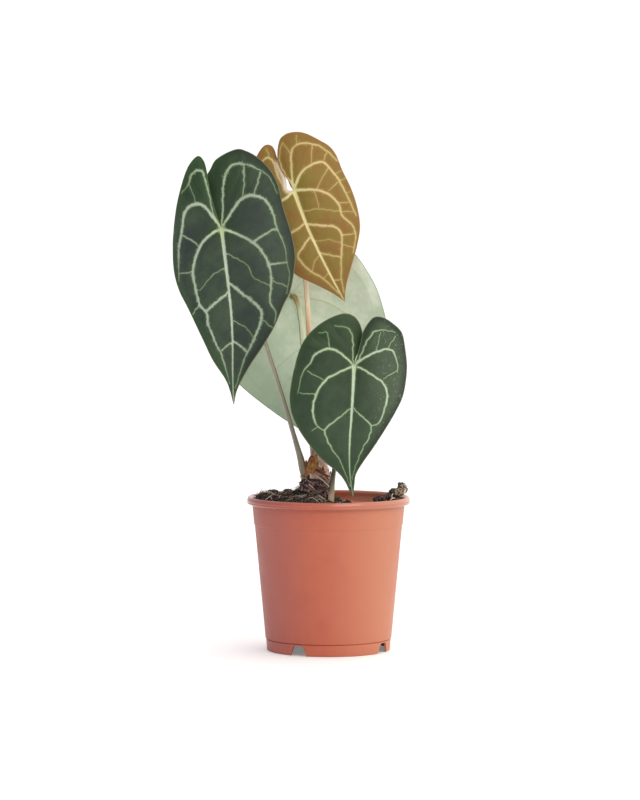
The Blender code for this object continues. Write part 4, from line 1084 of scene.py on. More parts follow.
def build_stalk_tree():
    """A stalk along its curve: round, a little knobbly, closed at both ends."""
    tree, given, out = new_tree(
        "stalk_along_route", 'GeometryNodeTree',
        {"Route": GEOMETRY, "Sides": 20, "Spacing": 1.2 * MM, "Knobbles": 0.2 * MM,
         "Knobble size": 5.0 * MM, "Skin": SKIN}, {"Stalk": GEOMETRY})
    even = geo(tree, 'ResampleCurve', {'Curve': given["Route"], 'Length': given["Spacing"]},
               mode='LENGTH')
    circle = geo(tree, 'CurvePrimitiveCircle', {'Resolution': given["Sides"], 'Radius': 1.0})
    tube = geo(tree, 'CurveToMesh',
               {'Curve': marked(even, "along", geo(tree, 'SplineParameter')),
                'Profile Curve': circle, 'Scale': geo(tree, 'InputRadius'), 'Fill Caps': True})
    lumps = add_node(tree, 'ShaderNodeTexNoise',
                     {'Vector': geo(tree, 'InputPosition'), 'Scale': 1.0 / given["Knobble size"],
                      'Detail': 2.0})['Fac']
    outwards = geo(tree, 'InputNormal')
    offset = add_node(tree, 'ShaderNodeVectorMath',
                      {0: outwards, 'Scale': (lumps - 0.5) * given["Knobbles"]},
                      operation='SCALE')['Vector']
    moved = geo(tree, 'SetPosition', {'Geometry': tube, 'Offset': offset})
    # Which way the surface faces, left to right, stored so the finish can paint light and shade on the
    # stalk's sides.
    facing = add_node(tree, 'ShaderNodeSeparateXYZ', {0: outwards})['X']
    smooth = geo(tree, 'SetShadeSmooth', {'Geometry': marked(moved, "side", facing)})
    end_tree(smooth, given["Skin"], out["Stalk"])
    return tree


def build_scatter_tree():
    """Loose bits strewn over a surface, each turned, sized and toned at random."""
    tree, given, out = new_tree(
        "strewn_bits", 'GeometryNodeTree',
        {"Ground": GEOMETRY, "Bits": 'NodeSocketCollection', "Per square metre": 1e5, "Seed": 1,
         "Smallest": 0.5, "Largest": 1.0, "Tilt": 0.5, "Skin": SKIN}, {"Bits": GEOMETRY})
    spots = add_node(tree, 'GeometryNodeDistributePointsOnFaces',
                     {'Mesh': given["Ground"], 'Density': given["Per square metre"],
                      'Seed': given["Seed"]})
    kinds = geo(tree, 'CollectionInfo', {'Collection': given["Bits"], 'Separate Children': True,
                                         'Reset Children': True})
    tilt = given["Tilt"]
    turn = add_node(tree, 'FunctionNodeRandomValue',
                    {0: vector(tree, tilt * -1.0, tilt * -1.0),
                     1: vector(tree, tilt, tilt, 2 * math.pi), 'Seed': given["Seed"]},
                    data_type='FLOAT_VECTOR')[0]
    turned = add_node(tree, 'FunctionNodeRotateRotation',
                      {'Rotation': spots['Rotation'], 'Rotate By': rotation(turn)},
                      rotation_space='LOCAL')[0]
    size = add_node(tree, 'FunctionNodeRandomValue',
                    {2: given["Smallest"], 3: given["Largest"], 'Seed': given["Seed"] + 7.0},
                    data_type='FLOAT')[1]
    laid = geo(tree, 'InstanceOnPoints', {'Points': spots['Points'], 'Instance': kinds,
                                          'Pick Instance': True, 'Rotation': turned,
                                          'Scale': size})
    tone = add_node(tree, 'FunctionNodeRandomValue', {'Seed': given["Seed"] + 19.0},
                    data_type='FLOAT')[1]
    end_tree(marked(laid, "tone", tone, 'INSTANCE'), given["Skin"], out["Bits"])
    return tree


def build_openings_tree():
    """Cuts the same opening out of a turned wall, at even steps round its axis."""
    tree, given, out = new_tree(
        "openings_round_the_base", 'GeometryNodeTree',
        {"Wall": GEOMETRY, "Cutter": 'NodeSocketObject', "Count": 4, "First": 0.0,
         "Centre X": 0.0, "Centre Y": 0.0, "Skin": SKIN}, {"Wall": GEOMETRY})
    spots = geo(tree, 'MeshLine', {'Count': given["Count"], 'Offset': (0.0, 0.0, 0.0)})
    centre = vector(tree, given["Centre X"], given["Centre Y"])
    spots = geo(tree, 'SetPosition', {'Geometry': spots, 'Offset': centre})
    angle = geo(tree, 'InputIndex') * (2 * math.pi / given["Count"]) + given["First"]
    cutter = add_node(tree, 'GeometryNodeObjectInfo', {'Object': given["Cutter"]})['Geometry']
    cutters = geo(tree, 'InstanceOnPoints', {'Points': spots, 'Instance': cutter,
                                             'Rotation': rotation(vector(tree, 0.0, 0.0, angle))})
    solid = geo(tree, 'RealizeInstances', {'Geometry': cutters})
    cut = geo(tree, 'MeshBoolean', {'Mesh 1': given["Wall"], 'Mesh 2': solid},
              operation='DIFFERENCE', solver='EXACT')
    end_tree(cut, given["Skin"], out["Wall"])
    return tree


# ------------ leaf stalks

# Each stalk: its route, widths and colours along it; then painted light and shade on the sides facing
# left and right, where that paint begins and is full, and its streaks and their strength.
STALKS = {
    "left": dict(
        route=((-16.6, -2.8, 127), (-18.6, -3.4, 133), (-20.2, -4, 140), (-22.1, -4.6, 147),
            (-26.3, -5.5, 161.5), (-31.7, -6.4, 180), (-38.5, -7.4, 202), (-45.8, -8, 225),
            (-57, -9.5, 262), (-67.5, -12, 291), (-74, -15, 304), (-76.6, -19.5, 307.6),
            (-77.2, -24.7, 308.2)),
        widths=((0, 6.4), (0.035, 5.8), (0.07, 5.0), (0.11, 4.1), (0.16, 3.5), (0.3, 3.0), (0.93, 2.7),
            (1, 3.6)),
        colours=((0.0, (160, 140, 112)), (0.06, (154, 144, 124)), (0.15, (146, 140, 126)),
            (0.5, (168, 160, 142)), (0.9, (150, 140, 112)), (1.0, (130, 130, 90))),
        left=(182, 170, 158), right=(80, 64, 46), turn=(0.35, 0.9), streaks=(120, 104, 86),
        strength=0.3),
    "young": dict(
        route=((-9.4, -1.6, 139), (-10.6, -1.2, 150), (-12, 2, 175), (-13.8, 5, 215), (-15, 8, 245),
            (-17, 10.5, 275), (-20.6, 13, 305), (-23.4, 13, 327), (-24.4, 9.5, 334.6),
            (-24.8, 4.2, 336.2)),
        widths=((0, 5.0), (0.1, 3.9), (0.6, 3.5), (0.94, 3.3), (1, 4.0)),
        colours=((0.0, (144, 82, 72)), (0.1, (180, 140, 122)), (0.42, (196, 152, 124)),
            (0.5, (236, 188, 150)), (0.57, (255, 230, 198)), (0.7, (255, 234, 216)),
            (1.0, (236, 190, 150))),
        left=(170, 112, 56), right=(250, 222, 204), turn=(0.6, 0.95), streaks=(226, 174, 138),
        strength=0.25),
    "rear": dict(
        route=((-10.8, 5.0, 136), (-12, 6.6, 150), (-14.6, 10, 175), (-16.8, 14, 205),
            (-18.6, 17.5, 226), (-20.4, 22, 243), (-22.6, 26, 254), (-25.2, 29.5, 259),
            (-27.0, 34.4, 259.0)),
        widths=((0, 4.4), (0.1, 3.8), (0.4, 4.6), (0.7, 4.6), (0.88, 3.8), (0.94, 4.2), (1, 4.0)),
        colours=((0.0, (150, 130, 110)), (0.15, (200, 198, 168)), (0.5, (242, 255, 238)),
            (0.86, (234, 242, 212)), (0.93, (196, 164, 100)), (1.0, (150, 120, 64))),
        left=(112, 114, 76), right=(240, 232, 214), turn=(0.5, 0.9), streaks=(206, 214, 178),
        strength=0.3),
    "right": dict(
        route=((1.6, -17.5, 106.5), (1.9, -18, 114), (2.8, -18.6, 124), (4.5, -19, 137),
            (7.4, -19.4, 155), (11.2, -20, 177), (15.2, -21.5, 197), (17.6, -24, 206),
            (18.3, -29.5, 208.6)),
        widths=((0, 5.0), (0.1, 4.4), (0.2, 3.4), (0.35, 2.8), (0.6, 2.4), (0.92, 2.4), (1, 3.3)),
        colours=((0.0, (222, 190, 170)), (0.08, (222, 192, 172)), (0.12, (172, 158, 130)),
            (0.17, (124, 122, 94)), (0.22, (72, 74, 54)), (1.0, (116, 126, 90))),
        left=(38, 40, 28), right=(176, 168, 140), turn=(0.2, 0.85), streaks=(110, 104, 80),
        strength=0.4),
}


def stalk_finish(key):
    """Waxy stalk, its colour changing from the foot to the leaf, with upright streaks and painted light
    and shade on its sides.
    """
    look = SimpleNamespace(**STALKS[key])
    finish, tree, shader = new_finish(f"stalk_{key}", 0.45)
    along, side = attribute(tree, "along"), attribute(tree, "side")
    colour, height = streaked(tree, ramp(along, look.colours), look.streaks, 0.9, look.strength)
    flecked, _ = blotched(tree, colour, (look.streaks, 1.4, 0.34, 0.06))
    # Painted light and shade by which way the surface faces: the left colour on the side facing left,
    # the right colour on the side facing right.
    begins, full = look.turn
    painted_left_side = spread(side, -full, -begins, 0.85, 0.0) * spread(along, 0.07, 0.14, 0.1, 1.0)
    colour = layered(colour, (0.35, flecked), (painted_left_side, look.left),
                     (spread(side, begins, full, 0.0, 0.8), look.right))
    dress(shader, colour, spread(height, 0.3, 0.7, 0.36, 0.52), height, 0.12)
    return finish


def build_stalk(key, tree):
    look = STALKS[key]
    line = smooth_line(look["route"], 3.0)
    lengths = np.concatenate([[0.0], np.cumsum(np.linalg.norm(np.diff(line, axis=0), axis=1))])
    shares, widths = zip(*look["widths"])
    radii = np.interp(lengths / lengths[-1], shares, widths) / 2
    curve = bpy.data.curves.new(f"leaf_stalk_{key}_route", 'CURVE')
    curve.dimensions = '3D'
    spline = curve.splines.new('POLY')
    spline.points.add(len(line) - 1)
    for point, place, radius in zip(spline.points, line * MM + POT_AXIS, radii):
        point.co = (*place, 1.0)
        point.radius = radius * MM
    finish = stalk_finish(key)
    made = bake_tree(new_object(f"stalk_{key}", curve), tree,
                     {"Sides": 22, "Spacing": 1.1 * MM, "Knobbles": 0.3 * MM,
                      "Knobble size": 6.0 * MM, "Skin": finish})
    return finish_piece(made, finish, [f"leaf_stalk_{key}"])


# ------------ pot

def wall_radius(z):
    """Outer radius of the tapered wall; it steps in a little at the shoulder and the base ring."""
    if z < FOOT_RING_TOP:
        return FOOT_RADIUS + 0.7 * z / FOOT_RING_TOP
    share = (z - FOOT_RING_TOP) / (RIM_BOTTOM - FOOT_RING_TOP)
    step = 0.2 if z > SHOULDER_Z else -0.2
    return WALL_LOW_RADIUS + (WALL_TOP_RADIUS - WALL_LOW_RADIUS) * share + step


def rounded_profile(corners, steps=5):
    """A (radius, height) line with each corner (radius, height, rounding) turned to an arc."""
    line = [corners[0][:2]]
    for before, corner, after in zip(corners, corners[1:], corners[2:]):
        middle = Vector(corner[:2])
        to_before, to_after = Vector(before[:2]) - middle, Vector(after[:2]) - middle
        reach = min(corner[2], 0.45 * to_before.length, 0.45 * to_after.length)
        start = middle + to_before.normalized() * reach
        end = middle + to_after.normalized() * reach
        for i in range(steps + 1):
            t = i / steps
            line.append(tuple((1 - t) ** 2 * start + 2 * t * (1 - t) * middle + t ** 2 * end))
    line.append(corners[-1][:2])
    return line


def subdivided(line, longest):
    """Adds points so that no stretch of the line is longer than `longest`."""
    fine = [line[0]]
    for a, b in zip(line, line[1:]):
        count = max(1, math.ceil(math.dist(a, b) / longest))
        fine += [tuple(np.array(a) + (np.array(b) - a) * i / count) for i in range(1, count + 1)]
    return fine


def build_cutter():
    """One wedge through the base ring with rounded upper corners, and one drain hole."""
    half_foot, half_top = NOTCH_FOOT_WIDTH / 2, NOTCH_TOP_WIDTH / 2
    section = rounded_profile([(-half_foot - 0.8, -1.0, 0.0), (-half_top, NOTCH_HEIGHT, 1.3),
                               (half_top, NOTCH_HEIGHT, 1.3), (half_foot + 0.8, -1.0, 0.0)], 6)
    points = [(across, -reach, z) for reach in NOTCH_FROM_TO for across, z in section]
    sides = 40
    faces = rod_faces(2, len(section)) + rod_faces(2, sides, len(points))
    for z in DRAIN_HOLE_FROM_TO:
        points += ring(sides, z, DRAIN_HOLE_RADIUS, 0.0, -DRAIN_HOLE_CIRCLE)
    return outward_faces(new_mesh_object("base_opening", points, faces, loose=True))


def build_pot(finish, tree):
    inner = [(0.0, FLOOR_TOP, 0.0), (43.6, FLOOR_TOP, 2.5), (wall_radius(40.0) - WALL, 40.0, 0.0),
             (wall_radius(INNER_WALL_TOP) - WALL, INNER_WALL_TOP, 2.0)]
    lip = [(56.1, 108.6, 1.2), (56.1, 111.6, 1.2), (57.4, RIM_TOP, 0.8), (59.1, RIM_TOP, 0.6),
           (60.0, 110.4, 0.8), (59.75, 109.7, 0.3), (59.75, 109.3, 0.3), (60.0, 108.9, 0.3),
           (59.7, 108.2, 0.3), (58.9, RIM_BOTTOM, 0.3), (58.2, RIM_BOTTOM, 0.3),
           (58.0, 109.9, 0.6), (56.7, 109.9, 0.8)]
    outer = [(wall_radius(RIM_BOTTOM), RIM_BOTTOM, 1.2),
             (wall_radius(SHOULDER_Z + 0.3), SHOULDER_Z + 0.3, 0.25),
             (wall_radius(SHOULDER_Z - 0.3), SHOULDER_Z - 0.3, 0.25),
             (wall_radius(FOOT_RING_TOP + 0.1), FOOT_RING_TOP + 0.1, 0.35),
             (FOOT_RADIUS - 0.2, FOOT_RING_TOP - 0.3, 0.2),
             (wall_radius(FOOT_RING_TOP - 0.7), FOOT_RING_TOP - 0.7, 0.3),
             (FOOT_RADIUS, 0.0, 0.5)]
    under = [(FOOT_RADIUS - 1.4, 0.0, 0.4), (FOOT_RADIUS - 1.1, FLOOR_BOTTOM, 0.8),
             (0.0, FLOOR_BOTTOM, 0.0)]
    line = subdivided(rounded_profile(inner + lip + outer + under), 6.0)
    rings = [ring(POT_SEGMENTS, z, radius) for radius, z in line[1:-1]]
    wall = closed_solid("nursery_pot_wall", (0, 0, line[0][1]), rings, (0, 0, line[-1][1]))
    cutter = build_cutter()
    made = bake_tree(wall, tree, {"Cutter": cutter, "Count": NOTCH_COUNT, "First": FIRST_NOTCH,
                                  "Centre X": float(POT_AXIS[0]), "Centre Y": float(POT_AXIS[1]),
                                  "Skin": finish})
    bpy.data.objects.remove(cutter)
    made.data.shade_smooth()
    made.data.set_sharp_from_angle(angle=math.radians(38.0))
    return finish_piece(made, finish, ["nursery_pot"])


def from_axis(tree):
    """Distances in millimetres to the right of the pot's axis, behind it, and above the foot."""
    parts = add_node(tree, 'ShaderNodeSeparateXYZ', {0: object_place(tree)})
    return parts['X'] - float(POT_AXIS[0]) / MM, parts['Y'] - float(POT_AXIS[1]) / MM, parts['Z']


def pot_finish():
    """Moulded terracotta plastic: satin, faintly clouded, with painted light on the right and inside
    and painted shade on the left.
    """
    finish, tree, shader = new_finish("terracotta_plastic", 0.35, Coat_Roughness=0.16)
    right, behind, height = from_axis(tree)
    clouds, _ = blotched(tree, (195, 104, 79), ((186, 97, 74), 26.0, 0.5, 0.3))
    to_rim = (height, RIM_BOTTOM - 0.4, RIM_BOTTOM)
    scuffs = cloud(object_place(tree, (1.0, 1.0, 0.3)), 1.6, 4.0, 0.7)
    scuffs = spread(scuffs - spread(height, 0.0, 16.0, 0.62, 0.74), 0.0, 0.05, 0.0, 0.35)
    outward = maths('SQRT', maths('POWER', right, 2.0) + maths('POWER', behind, 2.0))
    foot, taper = INSIDE_FROM
    within = spread(outward - (height * taper + foot), -0.3, 0.0, 1.0, 0.0)
    chalk = (spread(cloud(object_place(tree, (1.6, 1.6, 0.7)), 2.4, 4.0, 0.6), 0.52, 0.66, 0.0, 0.7)
             * spread(height, 103.0, 108.0, 0.35, 0.0))
    # Painted light and shade: mauve and darker on the left, paler and warmer on the right, and the
    # inner face painted paler against the shade inside the pot; the clouds, scuffs and chalk are the
    # plastic's own colour.
    colour = layered((182, 101, 89), (spread(right, -44.0, -8.0), clouds),
                     (spread(right, -8.0, 44.0), (196, 125, 97)),
                     (spread(*to_rim, 0.0, 0.35), (172, 84, 62)), (scuffs, (222, 168, 148)),
                     (within * spread(height, 10.0, 12.0),
                      blend(chalk, (255, 146, 142), (230, 176, 152))))
    haze = cloud(object_place(tree), 14.0, 4.0)
    put(spread(*to_rim, 0.08, 0.55), shader["Coat Weight"])
    dress(shader, colour, spread(*to_rim, 0.42, 0.2) + spread(haze, 0.3, 0.7, 0.0, 0.1),
          grain(tree, 0.9, 0.5), 0.015)
    return finish


# ------------ potting mix

def mix_height(x, y):
    """Top of the mix: a mound on the left and round the rootstock, low at the back right."""
    across = min(1.0, max(0.0, (MIX_RISE_FROM - x) / MIX_RISE_RUN))
    level = MIX_LOW + MIX_RISE * across * across * (3 - 2 * across)
    for at_x, at_y, height, spread_x, spread_y in MOUNDS:
        level += height * math.exp(-((x - at_x) / spread_x) ** 2 - ((y - at_y) / spread_y) ** 2)
    level -= MIX_BACK_FALL * max(0.0, y)
    height, size = MIX_BUMPS
    level += height * noise.noise(Vector((x / size, y / size, 3.1)))
    wall, share, drop = MIX_EDGE
    return level - drop * max(0.0, math.hypot(x, y) / wall - share) / (1.0 - share)


def crumbly_height(x, y):
    """The same surface broken up into clods and crumbs."""
    clods = noise.noise(Vector((x / 4.2, y / 4.2, 11.0)))
    crumbs = abs(noise.noise(Vector((x / 1.7, y / 1.7, 5.0))))
    grit = noise.noise(Vector((x / 0.8, y / 0.8, 2.0)))
    return mix_height(x, y) + 1.0 * clods + 1.3 * crumbs + 0.3 * grit - 1.9


def build_mix(finish):
    rings, segments, floor = 76, 230, 9.6
    radius = wall_radius(INNER_WALL_TOP) - WALL - 0.7
    rows = [[(x, y, crumbly_height(x, y)) for x, y, _ in ring(segments, 0.0, radius * row / rings)]
            for row in range(1, rings + 1)]
    rows += [ring(segments, z, wall_radius(max(z, 12.0)) - WALL - clear)
             for z, clear in ((60.0, 0.6), (12.5, 0.6), (floor, 3.4))]
    obj = closed_solid("potting_mix_bed", (0, 0, crumbly_height(0, 0)), rows, (0, 0, floor))
    return finish_piece(obj, finish, ["potting_mix"])


def mix_patch(name):
    """A helper sheet over the mix, for strewing bits on."""
    reach, step, within = 56.0, 1.5, 53.4
    places = np.arange(-reach, reach, step)
    points = [(x, y, crumbly_height(x, y)) for y in places for x in places]
    faces = grid_faces(np.arange(len(points)).reshape(len(places), len(places)))
    faces = [face for face in faces if math.hypot(*points[face[0]][:2]) < within]
    return new_mesh_object(name, points, faces)


def small_lump(name, seed, flat, detail=1):
    """A crumb a millimetre across, knocked out of round."""
    bm = bmesh.new()
    bmesh.ops.create_icosphere(bm, subdivisions=detail, radius=0.5 * MM)
    for vert in bm.verts:
        bump_out = 1.0 + 0.5 * noise.noise(vert.co * 1600 + Vector((seed * 7.7, 0, 0)))
        vert.co = Vector((vert.co.x * 1.25, vert.co.y * 0.9, vert.co.z * flat)) * bump_out
    mesh = bpy.data.meshes.new(name)
    bm.to_mesh(mesh)
    bm.free()
    mesh.shade_smooth()
    return bpy.data.objects.new(name, mesh)


def small_fibre(name, seed, length, thickness, above=0.25):
    """A curved, tapering strand a few millimetres long, lying near the ground."""
    rows, sides, points = 8, 4, []
    for row in range(rows):
        t = row / (rows - 1)
        bend = noise.noise(Vector((seed * 3.1, t * 1.6, 0.5)))
        lift = noise.noise(Vector((seed * 9.3, t * 1.4, 4.5)))
        centre = Vector(((t - 0.5) * length, bend * length * 0.45, above + lift * length * 0.14))
        radius = thickness * (0.35 + 0.65 * math.sin(math.pi * min(1, t * 0.9 + 0.08))) / 2
        points += oval(centre, Vector((0, radius, 0)), Vector((0, 0, 0.7 * radius)), sides)
    return outward_faces(new_mesh_object(name, points, rod_faces(rows, sides), loose=True))


def push_inside_pot(mesh):
    """Bends back whatever would stick out through the pot's wall."""
    points = np.empty(3 * len(mesh.vertices))
    mesh.vertices.foreach_get("co", points)
    points = points.reshape(-1, 3) - POT_AXIS
    for point in points:
        out, height = math.hypot(*point[:2]) / MM, point[2] / MM
        most = wall_radius(min(height, INNER_WALL_TOP)) - WALL - 0.3
        if out > most and height < RIM_TOP + 0.2:
            point[:2] *= most / out
    mesh.vertices.foreach_set("co", (points + POT_AXIS).ravel())
    mesh.update()


def strew(name, ground, bits, tree, finish, amounts):
    """Bakes loose bits over a ground sheet, and clears the helpers away.

    The amounts are how many lie on a square metre, the seed, the smallest and largest scale,
    and the tilt.
    """
    ground.name = name
    kinds = bpy.data.collections.new(f"{name}_kinds")
    for bit in bits:
        kinds.objects.link(bit)
    labels = ("Per square metre", "Seed", "Smallest", "Largest", "Tilt")
    made = bake_tree(ground, tree, {**dict(zip(labels, amounts)), "Bits": kinds, "Skin": finish})
    for bit in bits:
        bpy.data.objects.remove(bit)
    bpy.data.collections.remove(kinds)
    push_inside_pot(made.data)
    return finish_piece(made, finish)


def mix_finish():
    """Damp peat: near black, with rusty crumbs and a few pale specks."""
    return crumbly_finish(
        "potting_mix", 0.3, (26, 22, 20),
        (((76, 55, 45), 2.0, 0.46, 0.07), ((128, 116, 100), 1.1, 0.37, 0.03),
         ((24, 20, 18), 6.0, 0.47, 0.1)), (0.72, 0.92), 0.8, 0.5)


def bits_finish(name, colours, rough, wear=0.46):
    """Loose bits: each takes its own tone between three colours, with a mottled skin."""
    finish, tree, shader = new_finish(name, 0.3)
    toned = ramp(attribute(tree, "tone"), tuple(zip((0.0, 0.7, 1.0), colours)))
    worn, share = blotched(tree, toned, (colours[0], 1.8, wear, 0.12))
    dress(shader, worn, spread(share, 0.0, 1.0, rough - 0.12, rough), grain(tree, 0.6, 0.4), 0.25)
    return finish


def strew_mix(tree):
    """Crumbs, fibres and pale straws over the mix."""
    crumbs = [small_lump(f"crumb_{i}", i, 0.6 + 0.1 * i) for i in range(4)]
    fibres = [small_fibre(f"fibre_{i}", i, 3.6 + 1.2 * i, 0.34, 0.5) for i in range(5)]
    straws = [small_fibre(f"straw_{i}", 40 + i, 3.8 + 1.3 * i, 0.34, 1.3) for i in range(5)]
    for name, bits, colours, rough, wear, amounts in (
            ("mix_crumbs", crumbs, ((12, 9, 8), (36, 27, 23), (160, 132, 116)), 0.9, 0.46,
             (820000.0, 4, 0.35, 1.5, 3.1)),
            ("mix_fibres", fibres, ((32, 24, 21), (64, 48, 40), (184, 158, 140)), 0.8, 0.3,
             (100000.0, 9, 0.6, 1.5, 0.5)),
            ("mix_straws", straws, ((140, 112, 96), (214, 190, 170), (252, 244, 234)), 0.7, 0.2,
             (31000.0, 23, 0.7, 1.4, 0.3))):
        strew(name, mix_patch(f"{name}_ground"), bits, tree,
              bits_finish(name, colours, rough, wear), amounts)


def strew_root(tree):
    flakes = [small_fibre(f"flake_{i}", 20 + i, 2.6 + 0.7 * i, 0.75) for i in range(4)]
    finish = bits_finish("root_flakes", ((72, 52, 50), (124, 94, 88), (200, 166, 152)), 0.75)
    strew("root_flakes", root_patch(), flakes, tree, finish,
          (90000.0, 14, 0.6, 1.3, 0.35))


# ------------ rootstock and sheaths

def root_radius(z, angle):
    heights, radii = zip(*ROOT_PROFILE)
    base = float(np.interp(z, heights, radii))
    knob = noise.noise(Vector((2.1 * math.cos(angle), 2.1 * math.sin(angle), z / 5.0)))
    band = 0.35 * math.sin(z * 1.25 + 2.0 * math.sin(angle))
    fade = min(1.0, max(0.0, (136.0 - z) / 8.0))
    return base + fade * (1.3 * knob + band)


def scaly_radius(z, angle):
    """The knobby stem with its overlapping scars, cracks and corky bumps."""
    around = Vector((math.cos(angle), math.sin(angle), 0.0))
    wave = z + 1.4 * noise.noise(around * 1.8 + Vector((0, 0, z / 9.0)))
    scar = (wave / 3.1) % 1.0
    shingle = 0.55 * (1.0 - scar) * (0.6 + noise.noise(around * 2.6 + Vector((0, 0, z / 4.0))))
    lumps = 0.75 * noise.noise(around * 5.0 + Vector((3.0, 0, z / 2.6)))
    cracks = -0.7 * max(0.0, 0.22 - abs(noise.noise(around * 7.0 + Vector((0, 5.0, z / 3.4)))))
    cork = 0.22 * noise.noise(around * 16.0 + Vector((0, 0, z / 0.8)))
    fade = min(1.0, max(0.0, (141.0 - z) / 7.0))
    return root_radius(z, angle) + fade * (shingle + lumps + 2.2 * cracks + cork) - 0.3


def round_root(angle, radius, z):
    return ROOT_X + radius * math.cos(angle), ROOT_Y + radius * math.sin(angle), z


def build_root(finish):
    rows, sides = 150, 150
    low, high = 98.0, 143.0
    rings = []
    for row in range(rows):
        z = low + (high - low) * row / (rows - 1)
        rings.append(ring(sides, z, lambda angle: scaly_radius(z, angle), ROOT_X, ROOT_Y))
    obj = closed_solid("rootstock_knob", (ROOT_X, ROOT_Y, low - 1.5), rings,
                       (ROOT_X, ROOT_Y, high + 0.8))
    return finish_piece(obj, finish, ["rootstock"])


def root_patch():
    """A helper sheet round the rootstock, for strewing its loose flakes on."""
    rows, sides, low, high = 14, 48, 113.0, 128.0
    points = []
    for row in range(rows + 1):
        z = low + (high - low) * row / rows
        points += ring(sides, z, lambda angle: scaly_radius(z, angle) + 0.1, ROOT_X, ROOT_Y)
    return new_mesh_object("root_ground", points, tube_faces(rows + 1, sides))


def root_finish():
    """Corky skin: brown-black with dusky pink patches, pale flecks, and a rusty neck."""
    def rusty_neck(tree, colour):
        height = add_node(tree, 'ShaderNodeSeparateXYZ', {0: object_place(tree)})['Z']
        rust = cloud(object_place(tree, (1.0, 1.0, 3.0)), 2.2, 3.0)
        share = spread(height, 127.0, 134.0) * spread(rust, 0.3, 0.6, 0.45, 1.0)
        return blend(share, colour, (150, 92, 66))

    return crumbly_finish(
        "rootstock", 0.35, (78, 60, 66),
        (((176, 136, 130), 4.2, 0.44, 0.07), ((34, 25, 29), 2.6, 0.46, 0.06),
         ((202, 168, 142), 1.3, 0.36, 0.03)), (0.78, 0.6), 1.0, 0.6, rusty_neck)


def build_sheath(name, nodes, finish, azimuth, half_width, foot, tip, flare, taper, lift, slant):
    """A dried, torn bud sheath wrapped round the stem; it flares outwards at its tip."""
    rows, columns = 46, 34
    skins = []
    for skin in (0, 1):
        for row in range(rows + 1):
            up = row / rows
            ragged = 1.0 - taper * up ** 2.2
            for col in range(columns + 1):
                side = 2 * col / columns - 1
                tear = 0.10 * noise.noise(Vector((side * 1.5, up * 9.0, azimuth)))
                angle = math.radians(azimuth) - math.pi / 2 + half_width * (ragged + tear) * side
                split = 1.5 * up * noise.noise(Vector((side * 4.0, 2.0, azimuth / 9.0)))
                z = foot + (tip - foot) * up + split * abs(side) ** 0.5
                z += (1 - up) ** 2 * (3.4 * noise.noise(Vector((side * 3.2, 7.0, azimuth)))
                                      + slant * side)
                wrinkle = 0.28 * noise.noise(Vector((side * 6.0, up * 2.0, azimuth / 5.0)))
                curl = 0.5 * abs(side) ** 3 * (1 - up)
                stand = lift + flare * up ** 2 + wrinkle + curl + 0.4 * skin
                radius = max(root_radius(z + dz, angle) for dz in (-1.5, 0.0, 1.5)) + stand
                skins.append(round_root(angle, radius, z))
    layer = (rows + 1) * (columns + 1)
    grid = np.arange(layer).reshape(rows + 1, columns + 1)
    faces = grid_faces(grid) + grid_faces(grid + layer)
    rim = np.concatenate([grid[0], grid[1:, -1], grid[-1, -2::-1], grid[-2:0:-1, 0]]).tolist()
    for a, b in zip(rim, rim[1:] + rim[:1]):
        faces.append((a, b, b + layer, a + layer))
    obj = outward_faces(new_mesh_object(name, skins, faces))
    return finish_piece(obj, finish, nodes)


def sheath_finish(name, colour, blotches, fibres):
    """Papery sheath: rusty, with lengthwise fibres."""
    finish, tree, shader = new_finish(name, 0.3)
    rusty, _ = blotched(tree, colour, (blotches, 3.0, 0.5, 0.14))
    colour, height = streaked(tree, rusty, fibres, 0.6, 0.7)
    dress(shader, colour, spread(height, 0.3, 0.7, 0.62, 0.8), height, 0.5)
    return finish


# Finishes of the sheaths: colour, blotches and fibres
SHEATH_COLOURS = {
    "ochre": ((178, 120, 62), (120, 66, 44), (218, 166, 102)),
    "brown": ((78, 58, 46), (50, 38, 34), (128, 98, 70)),
    "dusky": ((198, 152, 134), (146, 92, 78), (252, 234, 222)),
    "rust": ((160, 102, 64), (106, 58, 42), (204, 150, 108)),
}

# Sheaths: name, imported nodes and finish; then turn, half width, foot, tip, flare, taper, lift
# and slant
SHEATHS = (
    ("dried_sheath_front", ["bud_sheath_front"], "ochre",
     (-17.0, 0.46, 130.4, 142.4, 1.7, 0.9, 1.4, 2.2)),
    ("dried_sheath_left", ["bud_sheath_left"], "brown",
     (-57.0, 0.3, 129.5, 139.6, 0.9, 0.7, 0.75, 0.0)),
    ("dried_sheath_right", ["bud_sheath_right"], "brown",
     (112.0, 0.5, 119.0, 130.5, 2.4, 0.93, 0.75, 0.0)),
    ("stem_sheath", [], "dusky", (40.0, 1.1, 127.0, 151.0, 2.0, 0.4, 0.6, 0.0)),
    ("rust_sheath_left", [], "rust", (-50.0, 0.34, 128.4, 139.0, 1.4, 0.9, 0.9, 0.0)),
    ("ochre_sheath_middle", [], "ochre", (2.0, 0.2, 133.4, 146.0, 1.9, 0.9, 1.6, 1.5)),
    ("rust_sheath_right", [], "rust", (30.0, 0.16, 128.0, 136.0, 1.8, 0.9, 1.5, 0.0)),
)


def build_sheaths():
    finishes = {name: sheath_finish(f"{name}_sheath", *colours)
                for name, colours in SHEATH_COLOURS.items()}
    for name, nodes, look, shape in SHEATHS:
        build_sheath(name, nodes, finishes[look], *shape)


# Torn strips: (turn, height) of each end, width and tone
STRIPS = (
    ((6.0, 131.2), (50.0, 125.2), 1.7, 0.55),
    ((0.0, 134.0), (64.0, 127.2), 2.6, 0.0),
    ((-4.0, 129.6), (30.0, 124.6), 1.3, 0.8),
    ((24.0, 134.6), (78.0, 128.4), 1.3, 0.2),
    ((30.0, 124.6), (64.0, 119.0), 1.1, 0.8),
    ((-46.0, 131.4), (-34.0, 124.8), 1.5, 0.6),
)
MORE_STRIPS = 110


